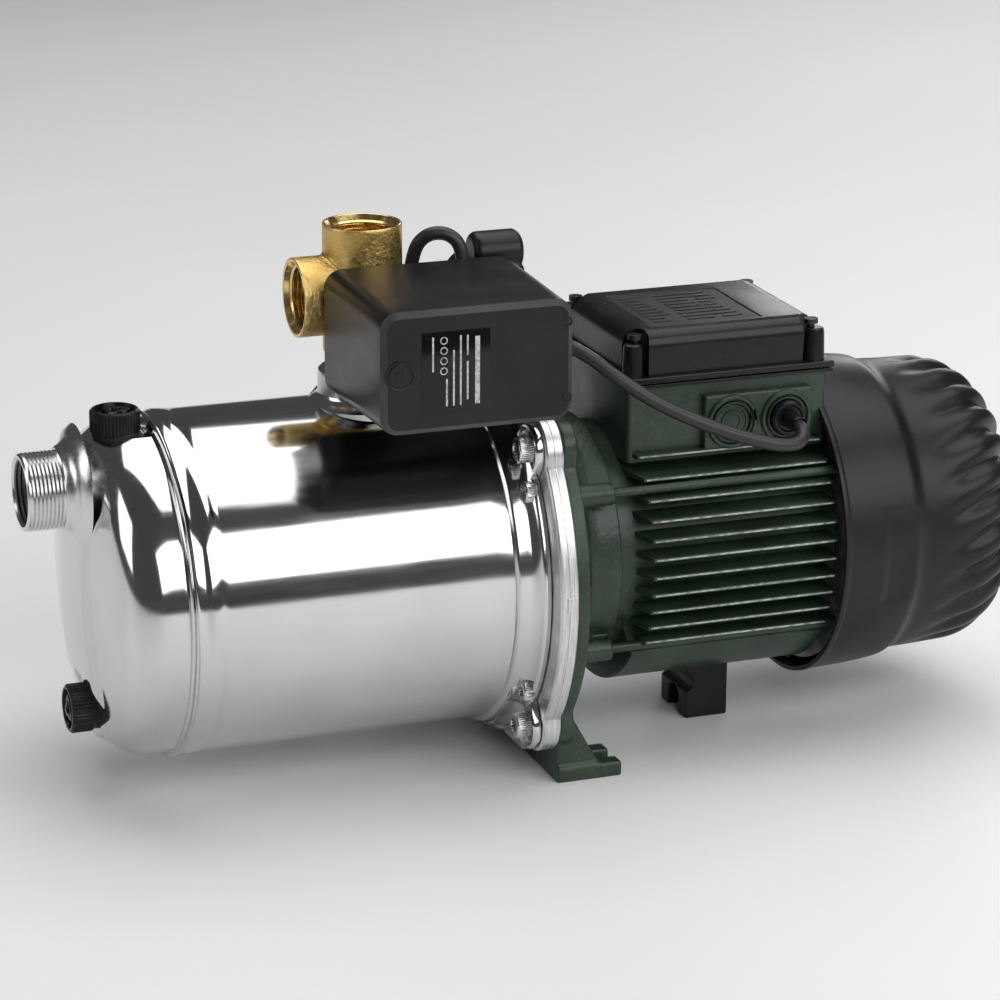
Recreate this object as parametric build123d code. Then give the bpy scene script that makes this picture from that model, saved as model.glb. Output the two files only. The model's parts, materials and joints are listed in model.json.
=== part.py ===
"""Shallow well jet pump with a pressure switch, all sizes in millimetres.

The origin is on the floor, in the middle of the front foot's bar. +X runs along the shaft from the
suction port to the fan cover, +Z is up. Sub-parts are written as parts/NODE.step.
"""
import os
from math import cos, hypot, pi, radians, sin, sqrt, tan

from build123d import *

os.makedirs("parts", exist_ok=True)

# ---------------------------------------------------------------- driving dimensions
# pump casing: a deep-drawn stainless shell with a lobed flange
casing_r = 87.0           # outside radius of the drawn body
axis_h = casing_r + 17.0  # height of the shaft above the floor
casing_wall = 1.5
body_len = 178.0          # from the seam to the front of the flange
cap_r = casing_r - 1.8    # outside radius of the domed cap
cap_depth = 38.0          # from the seam to the front of the dome
cap_knuckle_r = 22.0
flange_t = 2.5
flange_r = casing_r + 9.0 # radius of the casing flange between its lobes
bolt_y = casing_r - 17.0  # the four flange bolts stand on this rectangle
bolt_z = casing_r - 14.0
plate_screw_r = casing_r + 5.0
lobe_r = 13.0
lobe_blend_r = 16.0
plate_blend_r = 5.0
bolt_d = 8.0
bolt_reach = 10.0         # thread beyond the seal plate
flange_half_h = casing_r + 7.0   # the flanges behind the casing are cut flat at this height
seal_plate_t = 10.0
seal_plate_r = casing_r + 21.5
recess_r = casing_r - 7.0

# ports, ISO 228 G1: the bore is the thread's core
port_core_r = 15.145
port_major_r = 16.6
port_depth = 18.0
suction_z = casing_r - 32.5     # suction axis above the shaft
suction_od_r = 19.7
suction_stub = 26.5       # how far the suction stub stands out of the dome
discharge_x = -84.3       # discharge axis
discharge_neck_r = 23.0
discharge_neck_top = casing_r + 16.0  # above the shaft

# brass manifold: a tee with a boss for the switch
tee_z = casing_r + 54.7   # centre of the tee above the shaft
tee_arm = 36.0            # centre to port face
tee_r = 20.1
tee_spigot_r = 16.55
tee_flow_r = 12.5
switch_boss_r = 9.5

# filler and drain plugs
plug_cap_r = 12.6
plug_cap_h = 12.0
plug_stem_r = 8.7
plug_stem_len = 7.0
plug_seal_t = 1.8
filler_x = -15.5          # from the seam
filler_seat_z = casing_r - 7.5   # above the shaft
filler_recess = 15.0      # half width of the flat that the filler plug sits on
drain_boss_r = 17.0
drain_z = 25.0 - casing_r
drain_seat_x = -30.5      # from the seam
plug_lift = 24.0

# hydraulics
impeller_r = 60.0
impeller_w = 24.0
shaft_pump_r = 7.0
ejector_r = 15.0
throat_r = 6.0

# motor
bracket_len = 40.0        # seal plate to motor frame
bracket_neck_r = 66.0
frame_len = 122.0
frame_barrel_r = 61.0
frame_bore_r = 56.0
fin_tip_r = 76.0
fin_pitch = 9.55
fin_t = 2.2
fin_count = 11
fin_low_z = -39.5         # lowest fin, from the shaft
core_len = 70.0
rotor_r = 32.7
air_gap = 0.6
shaft_r = 10.0
bearing_bore_r = 7.5
bearing_od_r = 17.5
bearing_w = 11.0
shaft_fan_r = 6.0
tie_y = 60.0
tie_z = 41.7              # midway between two fins
tie_r = 2.5

# fan and its cover
cover_rim_r = 85.0
cover_rear_r = 78.0
cover_len = 115.0
cover_wall = 2.4
cover_round_r = 34.0
cover_slots = 28
fan_r = 62.0

# terminal box
box_half_w = 46.0
box_wall = 3.0
box_seam_z = 91.0         # joint between box and lid, above the shaft
box_low_z = 47.0
lid_top_z = 120.0
lid_lip_t = 6.0
lid_round_r = 11.0
gland_z = 70.5
gland_pitch = 30.0

# pressure switch
switch_x0 = -113.0        # left side
switch_w = 100.5
switch_y0 = -112.0        # front of the cover
switch_y1 = -25.0         # back of the base
switch_z0 = casing_r + 11.0      # underside, above the shaft
switch_h = 63.5
switch_wall = 2.4
switch_round_r = 6.0
base_t = 10.0

# feet
foot_w = 160.0
foot_bar_t = 12.0
foot_pad_t = 8.0
foot_slot_r = 4.5
foot_slot_y = 66.0
rear_foot_x = 102.0
rear_foot_len = 24.0

# cords
mains_d = 7.0
lead_d = 7.0

# clearances
fit = 0.05                # locating and running fits, on the radius
gap = 0.3                 # between moving and fixed pieces
slack = 0.5               # loose clearance between neighbours

# ---------------------------------------------------------------- stations along the shaft
flange_x = -20.0                       # front face of the casing flange
seam_x = flange_x - body_len
dome_x = seam_x - cap_depth
plate_x0 = flange_x + flange_t
plate_x1 = plate_x0 + seal_plate_t
bracket_x1 = plate_x1 + bracket_len
frame_x0 = bracket_x1
frame_x1 = frame_x0 + frame_len
core_x0 = frame_x0 + 25.0
core_x1 = core_x0 + core_len
winding_len = 14.0
front_bearing_x = plate_x1 + 27.0
rear_bearing_x = core_x1 + winding_len
cover_x0 = frame_x1 - 6.0
cover_x1 = cover_x0 + cover_len
box_x0 = frame_x0 + 9.0
box_len = frame_len - 11.0
lid_main_len = box_len - 4.0
impeller_x1 = plate_x0 - 8.0
impeller_x0 = impeller_x1 - impeller_w


# ---------------------------------------------------------------- shape helpers
def box(x0, x1, y0, y1, z0, z1):
    """A block between two corners; z is measured from the shaft."""
    centre = Pos((x0 + x1) / 2, (y0 + y1) / 2, axis_h + (z0 + z1) / 2)
    return centre * Box(x1 - x0, y1 - y0, z1 - z0)


def rod_x(x0, x1, r, y=0.0, z=0.0):
    """A cylinder along X; z is measured from the shaft."""
    return Pos((x0 + x1) / 2, y, axis_h + z) * Rot(0, 90, 0) * Cylinder(r, x1 - x0)


def rod_y(y0, y1, r, x, z):
    return Pos(x, (y0 + y1) / 2, axis_h + z) * Rot(90, 0, 0) * Cylinder(r, y1 - y0)


def rod_z(z0, z1, r, x, y=0.0):
    return Pos(x, y, axis_h + (z0 + z1) / 2) * Cylinder(r, z1 - z0)


def tube_x(x0, x1, r_out, r_in, y=0.0, z=0.0):
    return rod_x(x0, x1, r_out, y, z) - rod_x(x0 - 1, x1 + 1, r_in, y, z)


def tube_z(z0, z1, r_out, r_in, x, y=0.0):
    return rod_z(z0, z1, r_out, x, y) - rod_z(z0 - 1, z1 + 1, r_in, x, y)


def tube_y(y0, y1, r_out, r_in, x, z):
    return rod_y(y0, y1, r_out, x, z) - rod_y(y0 - 1, y1 + 1, r_in, x, z)


def turned(points):
    """A body turned about the shaft from a closed outline of (x, radius) points."""
    outline = make_face(Polyline(*points, close=True))
    return Pos(0, 0, axis_h) * revolve(outline, Axis.X)


def facing_x(x, y=0.0, z=0.0):
    """A sketch plane across the shaft: its x is +Y, its y is +Z and it faces +X."""
    return Plane(origin=(x, y, axis_h + z), x_dir=(0, 1, 0), z_dir=(1, 0, 0))


def at_bolts(piece):
    """Copies of a piece that was made at y = 0, z = 0, one at each flange bolt."""
    places = [(sy * bolt_y, sz * bolt_z) for sy in (-1, 1) for sz in (-1, 1)]
    return [Pos(0, y, z) * piece for y, z in places]


def group(pieces):
    return Compound(children=list(pieces))


def save(name, shape):
    export_step(shape, f"parts/{name}.step")


# ---------------------------------------------------------------- pump casing
def lobed_plate(x0, thickness, disc_r, half_h, blend_r):
    """The flange outline: a disc, flat above and below, with a rounded ear around each bolt."""
    outline = Circle(disc_r) & Rectangle(2 * disc_r, 2 * half_h)
    for sy in (-1, 1):
        for sz in (-1, 1):
            outline += Pos(sy * bolt_y, sz * bolt_z) * Circle(lobe_r)
    outline = fillet(outline.vertices(), blend_r)
    return extrude(facing_x(x0) * outline, thickness)


def casing_form(inset):
    """The drawn casing, shrunk by a wall for the inside."""
    r = casing_r - inset
    cap = cap_r - inset
    knuckle = cap_knuckle_r - inset
    front = dome_x + inset
    crown_x = front + 5.0
    path = FilletPolyline(
        (front, 0), (crown_x, cap_r - 23.2), (crown_x + 1.0, cap), (seam_x, cap),
        radius=[60.0, knuckle],
    )
    rest = Polyline((seam_x, cap), (seam_x, r), (flange_x + inset, r), (flange_x + inset, 0), (front, 0))
    form = Pos(0, 0, axis_h) * revolve(make_face(path + rest), Axis.X)
    seat = filler_seat_z - inset
    seat_half = filler_recess + inset
    form -= box(dome_x, seam_x + filler_x + seat_half, -seat_half, seat_half, seat, casing_r + 5)
    boss_front = seam_x + drain_seat_x + inset
    form -= rod_x(dome_x - 1, boss_front, drain_boss_r + inset, z=drain_z)
    form += rod_x(boss_front, seam_x, drain_boss_r - inset, z=drain_z)
    return form


def casing():
    shell = casing_form(0.0) - casing_form(casing_wall)
    shell += turned([(seam_x - 2, cap_r - 1), (seam_x - 1.5, casing_r + 0.4), (seam_x, casing_r + 1.0),
                     (seam_x + 1.5, casing_r + 0.4), (seam_x + 2, cap_r - 1)])
    filler_flat = seam_x + filler_x
    shell -= box(filler_flat - filler_recess, filler_flat + filler_recess, -filler_recess, filler_recess,
                 filler_seat_z, casing_r + 5)
    opening_r = casing_r - casing_wall
    shell += lobed_plate(flange_x, flange_t, flange_r, flange_r, lobe_blend_r)
    shell -= rod_x(flange_x - 4, plate_x0 + 1, opening_r)
    shell -= group(at_bolts(rod_x(flange_x - 1, plate_x0 + 1, bolt_d / 2 + slack)))
    shell -= rod_x(dome_x - 1, seam_x - 20, suction_od_r + fit, z=suction_z)
    shell -= rod_z(casing_r - 12, casing_r + 2, tee_spigot_r + 1.0, discharge_x)
    shell -= rod_z(filler_seat_z - 6, filler_seat_z + 1, plug_stem_r + gap, seam_x + filler_x)
    shell -= rod_x(seam_x + drain_seat_x - 1, seam_x + drain_seat_x + 6, plug_stem_r + gap, z=drain_z)
    for y, z in plate_screw_places():
        shell -= rod_x(flange_x - 1, plate_x0 + 1, 3.0 + gap, y, z)
    return shell


def plate_screw_places():
    """Four M6 screws on the casing flange, between the ears and the body."""
    places = []
    for angle in (35, 145, 215, 325):
        places.append((plate_screw_r * cos(radians(angle)), plate_screw_r * sin(radians(angle))))
    return places


suction_x0 = dome_x - suction_stub
suction_nozzle = tube_x(suction_x0, dome_x + 9, suction_od_r, port_core_r, z=suction_z)
suction_collar = turned([(0, suction_od_r - 0.5), (0, suction_od_r + 2.5), (2.5, suction_od_r + 2.5),
                         (7.5, 28.0), (7.5, suction_od_r - 0.5)])
suction_nozzle += Pos(dome_x - 7.2, 0, suction_z) * suction_collar
suction_nozzle -= casing_form(0.0)
suction_nozzle += tube_x(dome_x - 1, dome_x + 9, suction_od_r, port_core_r, z=suction_z)

discharge_nozzle = tube_z(casing_r - 8, discharge_neck_top, discharge_neck_r, tee_spigot_r + fit, discharge_x)
discharge_nozzle -= rod_x(discharge_x - 40, discharge_x + 40, casing_r)

pump_casing = casing()
save("pump_casing", pump_casing)
save("suction_nozzle", suction_nozzle)
save("discharge_nozzle", discharge_nozzle)


# ---------------------------------------------------------------- filler and drain plugs
def plug():
    """A hand-turned plug made standing up, its seat at z = 0."""
    cap = Pos(0, 0, plug_seal_t + plug_cap_h / 2) * Cylinder(plug_cap_r, plug_cap_h)
    cap = chamfer(cap.edges().sort_by(Axis.Z)[-1], 1.0)
    for i in range(30):
        angle = radians(i * 12)
        flute = Pos((plug_cap_r + 0.3) * cos(angle), (plug_cap_r + 0.3) * sin(angle), plug_seal_t + plug_cap_h / 2)
        cap -= flute * Cylinder(0.8, plug_cap_h + 1)
    cap -= Pos(0, 0, plug_seal_t + plug_cap_h) * Cylinder(9.5, 3.0)
    grip = Box(17.5, 3.2, 3.6)
    cap += Pos(0, 0, plug_seal_t + plug_cap_h - 1.9) * grip
    stem_top = plug_seal_t + 0.5
    cap += Pos(0, 0, (stem_top - plug_stem_len) / 2) * Cylinder(plug_stem_r, stem_top + plug_stem_len)
    return cap


def plug_seal():
    return Pos(0, 0, plug_seal_t / 2) * (Cylinder(11.6, plug_seal_t) - Cylinder(plug_stem_r + fit, 3))


filler_place = Pos(seam_x + filler_x, 0, axis_h + filler_seat_z)
drain_place = Pos(seam_x + drain_seat_x, 0, axis_h + drain_z) * Rot(0, -90, 0)
save("filler_plug", filler_place * plug())
save("filler_plug_seal", filler_place * plug_seal())
save("drain_plug", drain_place * plug())
save("drain_plug_seal", drain_place * plug_seal())

# ---------------------------------------------------------------- suction bend, nozzle and ejector
bend_r = ejector_r - 1.0
bend_wall = 2.5
bend_x = seam_x - 14.0
bend_end_x = seam_x + 12.0
bend_start_x = dome_x + 9.5
bend_path = FilletPolyline(
    (bend_start_x, 0, axis_h + suction_z), (bend_x, 0, axis_h + suction_z),
    (bend_x, 0, axis_h), (bend_end_x, 0, axis_h), radius=12.0,
)
bend_section = Plane(origin=(bend_start_x, 0, axis_h + suction_z), z_dir=(1, 0, 0))
suction_bend = sweep(bend_section * Circle(bend_r), path=bend_path)
suction_bend -= sweep(bend_section * Circle(bend_r - bend_wall), path=bend_path)

nozzle_x1 = bend_end_x + 34.0
jet_nozzle = turned([(bend_end_x, 11.6), (bend_end_x, bend_r), (bend_end_x + 6, bend_r),
                     (bend_end_x + 6, 12.2), (nozzle_x1, 6.2), (nozzle_x1, 4.6)])
ejector_x0 = bend_end_x + 8.0
ejector_x1 = impeller_x0 - 14.0
ejector_tube = turned([(ejector_x0, 14.5), (ejector_x0, ejector_r + 4), (ejector_x0 + 10, ejector_r + 4),
                       (nozzle_x1 + 14, throat_r + 4), (ejector_x1 - 22, throat_r + 8),
                       (ejector_x1, ejector_r + 3), (ejector_x1, ejector_r),
                       (nozzle_x1 + 16, throat_r), (nozzle_x1 + 4, throat_r), (ejector_x0 + 14, 14.5)])
suction_window = box(ejector_x0 + 3, ejector_x0 + 11, -30, 30, -7, 7)
suction_window += box(ejector_x0 + 3, ejector_x0 + 11, -7, 7, -30, 30)
ejector_tube -= suction_window


def ring(x, r, section_r, y=0.0, z=0.0):
    """A round sealing ring about an axis along X."""
    return Pos(x, y, axis_h + z) * Rot(0, 90, 0) * Torus(r, section_r)


def grooved(piece, x, r, section_r):
    """A piece with a groove for a sealing ring in its outside."""
    return piece - tube_x(x - section_r - fit, x + section_r + fit, r + section_r + 1, r - section_r - fit)


ejector_seal_r = ejector_r + 1.7
ejector_seal_x = ejector_x1 - 4.0
ejector_tube = grooved(ejector_tube, ejector_seal_x, ejector_seal_r, 1.2)
save("suction_bend", suction_bend)
save("jet_nozzle", jet_nozzle)
save("ejector_tube", ejector_tube)
save("ejector_seal", ring(ejector_seal_x, ejector_seal_r, 1.15))

# ---------------------------------------------------------------- impeller and diffuser
diffuser_r = casing_r - casing_wall - 6.0
shroud_t = 2.5
eye_r = 18.0
socket_r = ejector_r + 3 + fit
diffuser = rod_x(impeller_x0 - 6, plate_x0 - 1.5, diffuser_r)
diffuser -= rod_x(impeller_x0 - 2, plate_x0, impeller_r + 2.5)
diffuser += rod_x(ejector_x1 - 8, impeller_x0 - 5, socket_r + 3)
diffuser -= rod_x(ejector_x1 - 9, impeller_x0 - 8, socket_r)
diffuser -= rod_x(impeller_x0 - 9, impeller_x0, ejector_r)
for i in range(8):
    port = Pos(0, 0, axis_h) * Rot(45 * i, 0, 0) * Pos(impeller_x0 - 4, 0, impeller_r + 11)
    diffuser -= port * Box(8, 26, 7)


def impeller():
    """A closed impeller: two shrouds with seven backward blades between them."""
    back = turned([(impeller_x1, shaft_pump_r + fit), (impeller_x1, 13.0), (impeller_x1 - 4, 14.0),
                   (impeller_x1 - 4, impeller_r), (impeller_x1 - 4 - shroud_t, impeller_r),
                   (impeller_x1 - 7, 12.0), (impeller_x0 + 6, 11.0), (impeller_x0 + 6, shaft_pump_r + fit)])
    front = turned([(impeller_x0 + 6, impeller_r), (impeller_x0 + 6 + shroud_t, impeller_r),
                    (impeller_x0 + 3 + shroud_t, eye_r), (impeller_x0, eye_r),
                    (impeller_x0, eye_r - 2.2), (impeller_x0 + 3, eye_r - 2.2)])
    wheel = back + front
    blade_x0 = impeller_x0 + 6.5
    blade_x1 = impeller_x1 - 5.0
    for i in range(7):
        blade = Pos(0, 0, axis_h) * Rot(360 / 7 * i, 0, 0) * Pos(0, 8, 34) * Rot(38, 0, 0)
        blade = blade * Pos((blade_x0 + blade_x1) / 2, 0, 3) * Box(blade_x1 - blade_x0, 2.4, 46)
        wheel += blade & tube_x(impeller_x0 + 4, impeller_x1 - 4, impeller_r, 13)
    return wheel


def hex_nut(x0, x1, r, bore_r):
    """A hexagon nut about the shaft, r across its corners."""
    nut = extrude(facing_x(x0) * RegularPolygon(r, 6), x1 - x0)
    return nut - rod_x(x0 - 1, x1 + 1, bore_r)


nut_x1 = impeller_x0 + 6
save("diffuser", diffuser)
save("impeller", impeller())
save("impeller_nut", hex_nut(nut_x1 - 8, nut_x1, 10.5, 6.0 + fit))

# ---------------------------------------------------------------- shaft seal and seal plate
seal_seat_r = 14.0
seal_face_x = plate_x0 + 2.0
plate_web_x = plate_x1 - 4.0
seal_plate = lobed_plate(plate_x0, seal_plate_t, seal_plate_r, flange_half_h, plate_blend_r)
seal_plate -= rod_x(plate_x0 - 1, plate_web_x, recess_r)
seal_plate += rod_x(plate_x0 + 1.0, plate_x1, 24.0)
seal_plate -= rod_x(plate_x0, plate_web_x, seal_seat_r + fit)
seal_plate -= rod_x(plate_x0, plate_x1 + 1, shaft_r + 1.5)
spigot_r = casing_r - casing_wall - fit
seal_plate += tube_x(plate_x0 - 6, plate_x0 + 1, spigot_r, recess_r + 1)
casing_seal_x = plate_x0 - 3.0
casing_seal_r = spigot_r - 1.6
seal_plate = grooved(seal_plate, casing_seal_x, casing_seal_r, 1.5)
seal_plate -= group(at_bolts(rod_x(plate_x0 - 1, plate_x1 + 1, bolt_d / 2 + slack)))
for screw_y, screw_z in plate_screw_places():
    seal_plate -= rod_x(plate_x0 - 1, plate_x0 + 8, 3.0 + fit, screw_y, screw_z)
seal_seat = tube_x(seal_face_x, plate_web_x - fit, seal_seat_r, shaft_pump_r + 1.0)
seal_head = tube_x(seal_face_x - 4 - fit, seal_face_x - fit, 12.0, shaft_pump_r + fit)
spring_x1 = seal_face_x - 4 - 2 * fit
spring_x0 = impeller_x1 + fit


def coil_spring(length, r, wire_r, turns):
    """A compression spring standing on z = 0."""
    rise = length - 2 * wire_r
    path = Helix(pitch=rise / turns, height=rise, radius=r)
    start = Plane(origin=path @ 0, z_dir=path % 0)
    return Pos(0, 0, wire_r) * sweep(start * Circle(wire_r), path=path, is_frenet=True)


seal_spring = Pos(spring_x0, 0, axis_h) * Rot(0, 90, 0) * coil_spring(spring_x1 - spring_x0, 9.6, 0.8, 1.5)
save("seal_plate", seal_plate)
save("seal_seat", seal_seat)
save("seal_head", seal_head)
save("seal_spring", seal_spring)
save("casing_seal", ring(casing_seal_x, casing_seal_r, 1.45))


def socket_screw(d, head_d, head_h, length):
    """A socket-head screw lying along +X, the underside of its head at x = 0."""
    screw = Pos(-head_h / 2, 0, axis_h) * Rot(0, 90, 0) * Cylinder(head_d / 2, head_h)
    screw += Pos(length / 2, 0, axis_h) * Rot(0, 90, 0) * Cylinder(d / 2, length)
    socket = extrude(facing_x(-head_h) * RegularPolygon(d * 0.44, 6), head_h * 0.6)
    return screw - socket


flange_bolt = Pos(flange_x, 0, 0) * socket_screw(bolt_d, 13.0, 8.0, flange_t + seal_plate_t + bolt_reach)
plate_screw = Pos(flange_x, 0, 0) * socket_screw(6.0, 10.0, 6.0, flange_t + 8.0)
save("flange_bolts", group(at_bolts(flange_bolt)))
save("plate_screws", group([Pos(0, y, z) * plate_screw for y, z in plate_screw_places()]))

# ---------------------------------------------------------------- motor bracket with the front foot
bracket_flange_t = 8.0
bracket_disc_r = seal_plate_r - 4.5
cone_r = casing_r + 3.0
flange_x1 = plate_x1 + bracket_flange_t
web_t = 5.0
hub_x0 = front_bearing_x - 3.0
motor_bracket = lobed_plate(plate_x1, bracket_flange_t, bracket_disc_r, flange_half_h - 2, plate_blend_r)
motor_bracket += turned([(flange_x1 - 1, 0), (flange_x1 - 1, cone_r), (flange_x1 + 3, cone_r - 2),
                         (flange_x1 + 9, (cone_r + bracket_neck_r) / 2 - 4),
                         (flange_x1 + 14, bracket_neck_r + 2), (flange_x1 + 20, bracket_neck_r),
                         (bracket_x1, bracket_neck_r), (bracket_x1, 0)])
inside_r = bracket_neck_r - 6.0
motor_bracket -= turned([(plate_x1 - 1, 0), (plate_x1 - 1, recess_r), (flange_x1 + 2, recess_r - 1),
                         (flange_x1 + 14, inside_r),
                         (bracket_x1 + 1, inside_r), (bracket_x1 + 1, 0)])
motor_bracket += tube_x(hub_x0, hub_x0 + web_t, inside_r + 2, bearing_od_r)
motor_bracket += tube_x(hub_x0, front_bearing_x + bearing_w, bearing_od_r + 7, bearing_od_r + fit)
motor_bracket -= rod_x(hub_x0 - 1, front_bearing_x, bearing_od_r - 3)
motor_bracket -= rod_x(front_bearing_x, bracket_x1 + 1, bearing_od_r + fit)
window = rod_y(-110, -45, 24, flange_x1 + 4, 0) & box(flange_x1 - 0.5, flange_x1 + 9, -110, -45, -30, 30)
window += rod_y(45, 110, 24, flange_x1 + 4, 0) & box(flange_x1 - 0.5, flange_x1 + 9, 45, 110, -30, 30)
motor_bracket -= window
tie_boss_x1 = bracket_x1 - 4.0
for sy in (-1, 1):
    for sz in (-1, 1):
        motor_bracket += rod_x(flange_x1, tie_boss_x1, 6.0, sy * tie_y, sz * tie_z)


def front_foot():
    """The cast foot: a bar under the flange, two gussets and two slotted pads."""
    half = foot_w / 2
    foot_bottom = -axis_h
    foot = box(-7.0, foot_bar_t - 7.0 + 4, -half, half, foot_bottom, foot_bottom + foot_pad_t)
    foot += box(plate_x1, flange_x1, -half + 8, half - 8, foot_bottom, -70)
    for s in (-1, 1):
        y0, y1 = sorted((s * half, s * (half - 28)))
        pad = box(-7, 28, y0, y1, foot_bottom, foot_bottom + foot_pad_t)
        slot_y = s * foot_slot_y
        pad -= box(17, 40, slot_y - foot_slot_r, slot_y + foot_slot_r, foot_bottom - 1, foot_bottom + 20)
        pad -= rod_z(foot_bottom - 1, foot_bottom + 20, foot_slot_r, 17, slot_y)
        foot += pad
        gusset_y = s * (half - 5)
        outline = make_face(Polyline((plate_x1, foot_bottom + 2), (16, foot_bottom + 2),
                                     (16, foot_bottom + foot_pad_t), (flange_x1 + 1, -70), (plate_x1, -55),
                                     close=True))
        plane = Plane(origin=(0, gusset_y + 3, axis_h), x_dir=(1, 0, 0), z_dir=(0, -1, 0))
        foot += extrude(plane * outline, 6)
    return foot


motor_bracket += front_foot()
motor_bracket -= rod_x(plate_x1 - 1, flange_x1 + 2, recess_r - 1)
for hole in at_bolts(rod_x(plate_x1 - 1, flange_x1 + 12, bolt_d / 2 + fit)):
    motor_bracket -= hole
save("motor_bracket", motor_bracket)

# ---------------------------------------------------------------- motor frame with the terminal box
box_x1 = box_x0 + box_len
box_floor_z = frame_barrel_r + 1.5
spigot_len = 4.0


def fins():
    plates = []
    for i in range(fin_count):
        z = fin_low_z + i * fin_pitch
        reach = sqrt(fin_tip_r ** 2 - z ** 2)
        root = sqrt((frame_barrel_r - 2) ** 2 - z ** 2)
        x0 = frame_x0 + 9
        for s in (-1, 1):
            y0, y1 = sorted((s * root, s * reach))
            plates.append(box(x0, frame_x1 - 6, y0, y1, z - fin_t / 2, z + fin_t / 2))
    return plates


motor_frame = rod_x(frame_x0, frame_x1, frame_barrel_r)
belly = tube_x(frame_x0 + 7, frame_x1 - 6, fin_tip_r, fin_tip_r - 4.0)
belly &= box(frame_x0, frame_x1, -80, 80, -fin_tip_r - 1, fin_low_z - fin_pitch / 2)
motor_frame += belly
for rib_y in (-44, 0, 44):
    rib_low = -sqrt(fin_tip_r ** 2 - rib_y ** 2) + 1.0
    rib_top = -sqrt(frame_barrel_r ** 2 - rib_y ** 2) + 2.0
    motor_frame += box(frame_x0 + 7, frame_x1 - 6, rib_y - 2, rib_y + 2, rib_low, rib_top)
for fin in fins():
    motor_frame += fin
terminal_box = box(box_x0, box_x1, -box_half_w, box_half_w, box_low_z, box_seam_z)
inner_half = box_half_w - box_wall
terminal_box -= box(box_x0 + box_wall, box_x1 - box_wall, -inner_half, inner_half, box_floor_z, box_seam_z + 1)
motor_frame += terminal_box
gland_x1 = box_x0 + 86.0
blank_x = gland_x1 - gland_pitch
panel_x0 = blank_x - 15
panel_y = -box_half_w - 5.0
motor_frame += box(panel_x0, panel_x0 + 60, panel_y, -box_half_w + 1, gland_z - 14.5, gland_z + 14.5)
for gland_x in (blank_x, gland_x1):
    motor_frame += tube_y(panel_y - 2.0, panel_y + 1, 13.0, 10.5, gland_x, gland_z)
    motor_frame -= rod_y(panel_y - 3, -inner_half + 1, 8.5 + fit, gland_x, gland_z)
motor_frame -= rod_x(frame_x0 - 1, frame_x1 + 1, frame_bore_r)
for sy in (-1, 1):
    for sz in (-1, 1):
        motor_frame -= rod_x(frame_x0 - 1, frame_x1 + 1, tie_r + slack, sy * tie_y, sz * tie_z)
save("motor_frame", motor_frame)

# ---------------------------------------------------------------- stator, rotor and shaft
stator_r = frame_bore_r - fit
stator_core = tube_x(core_x0, core_x1, stator_r, rotor_r + air_gap)
front_winding = turned([(core_x0 - winding_len, 37), (core_x0 - winding_len, 48), (core_x0 - 10, 52),
                        (core_x0, 52), (core_x0, 36), (core_x0 - 10, 35)])
rear_winding = turned([(core_x1 + winding_len, 37), (core_x1 + winding_len, 48), (core_x1 + 10, 52),
                       (core_x1, 52), (core_x1, 36), (core_x1 + 10, 35)])
shaft_x0 = impeller_x0 - 4.0
shaft_x1 = rear_bearing_x + bearing_w + 50.0
shoulder_x0 = front_bearing_x + bearing_w
rotor_core = tube_x(core_x0, core_x1, rotor_r, shaft_r + fit)
rotor_core += tube_x(core_x0 - 5, core_x0 + 1, rotor_r - 4, 22)
rotor_core += tube_x(core_x1 - 1, core_x1 + 5, rotor_r - 4, 22)
motor_shaft = turned([(shaft_x0, 0), (shaft_x0, 6), (nut_x1, 6), (nut_x1, shaft_pump_r),
                      (plate_x1, shaft_pump_r), (plate_x1, bearing_bore_r), (shoulder_x0, bearing_bore_r),
                      (shoulder_x0, shaft_r), (rear_bearing_x, shaft_r), (rear_bearing_x, bearing_bore_r),
                      (rear_bearing_x + bearing_w + 6, bearing_bore_r),
                      (rear_bearing_x + bearing_w + 6, shaft_fan_r), (shaft_x1, shaft_fan_r), (shaft_x1, 0)])
save("stator_core", stator_core)
save("stator_windings", group([front_winding, rear_winding]))
save("rotor_core", rotor_core)
save("motor_shaft", motor_shaft)

ball_r = 2.4
ball_pitch_r = (bearing_bore_r + bearing_od_r) / 2
inner_ring_r = ball_pitch_r - ball_r + 0.7
outer_ring_r = ball_pitch_r + ball_r - 0.7


def at_bearings(piece):
    """Copies of a piece made with its left face at x = 0, one in each bearing."""
    return [Pos(x, 0, 0) * piece for x in (front_bearing_x, rear_bearing_x)]


track = ring(bearing_w / 2, ball_pitch_r, ball_r + fit)
outer_ring = tube_x(0, bearing_w, bearing_od_r, outer_ring_r) - track
inner_ring = tube_x(0, bearing_w, inner_ring_r, bearing_bore_r + fit) - track
balls = []
for i in range(8):
    angle = radians(45 * i)
    balls.append(Pos(bearing_w / 2, ball_pitch_r * cos(angle), axis_h + ball_pitch_r * sin(angle)) * Sphere(ball_r))
save("bearing_outer_rings", group(at_bearings(outer_ring)))
save("bearing_inner_rings", group(at_bearings(inner_ring)))
save("bearing_balls", group([Pos(x, 0, 0) * ball for x in (front_bearing_x, rear_bearing_x) for ball in balls]))

slinger_x = plate_x1 + 12.0
save("water_slinger", turned([(slinger_x, bearing_bore_r + fit), (slinger_x, 11), (slinger_x + 1.5, 15),
                              (slinger_x + 3, 15), (slinger_x + 3, 11), (slinger_x + 6, 10),
                              (slinger_x + 6, bearing_bore_r + fit)]))

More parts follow.
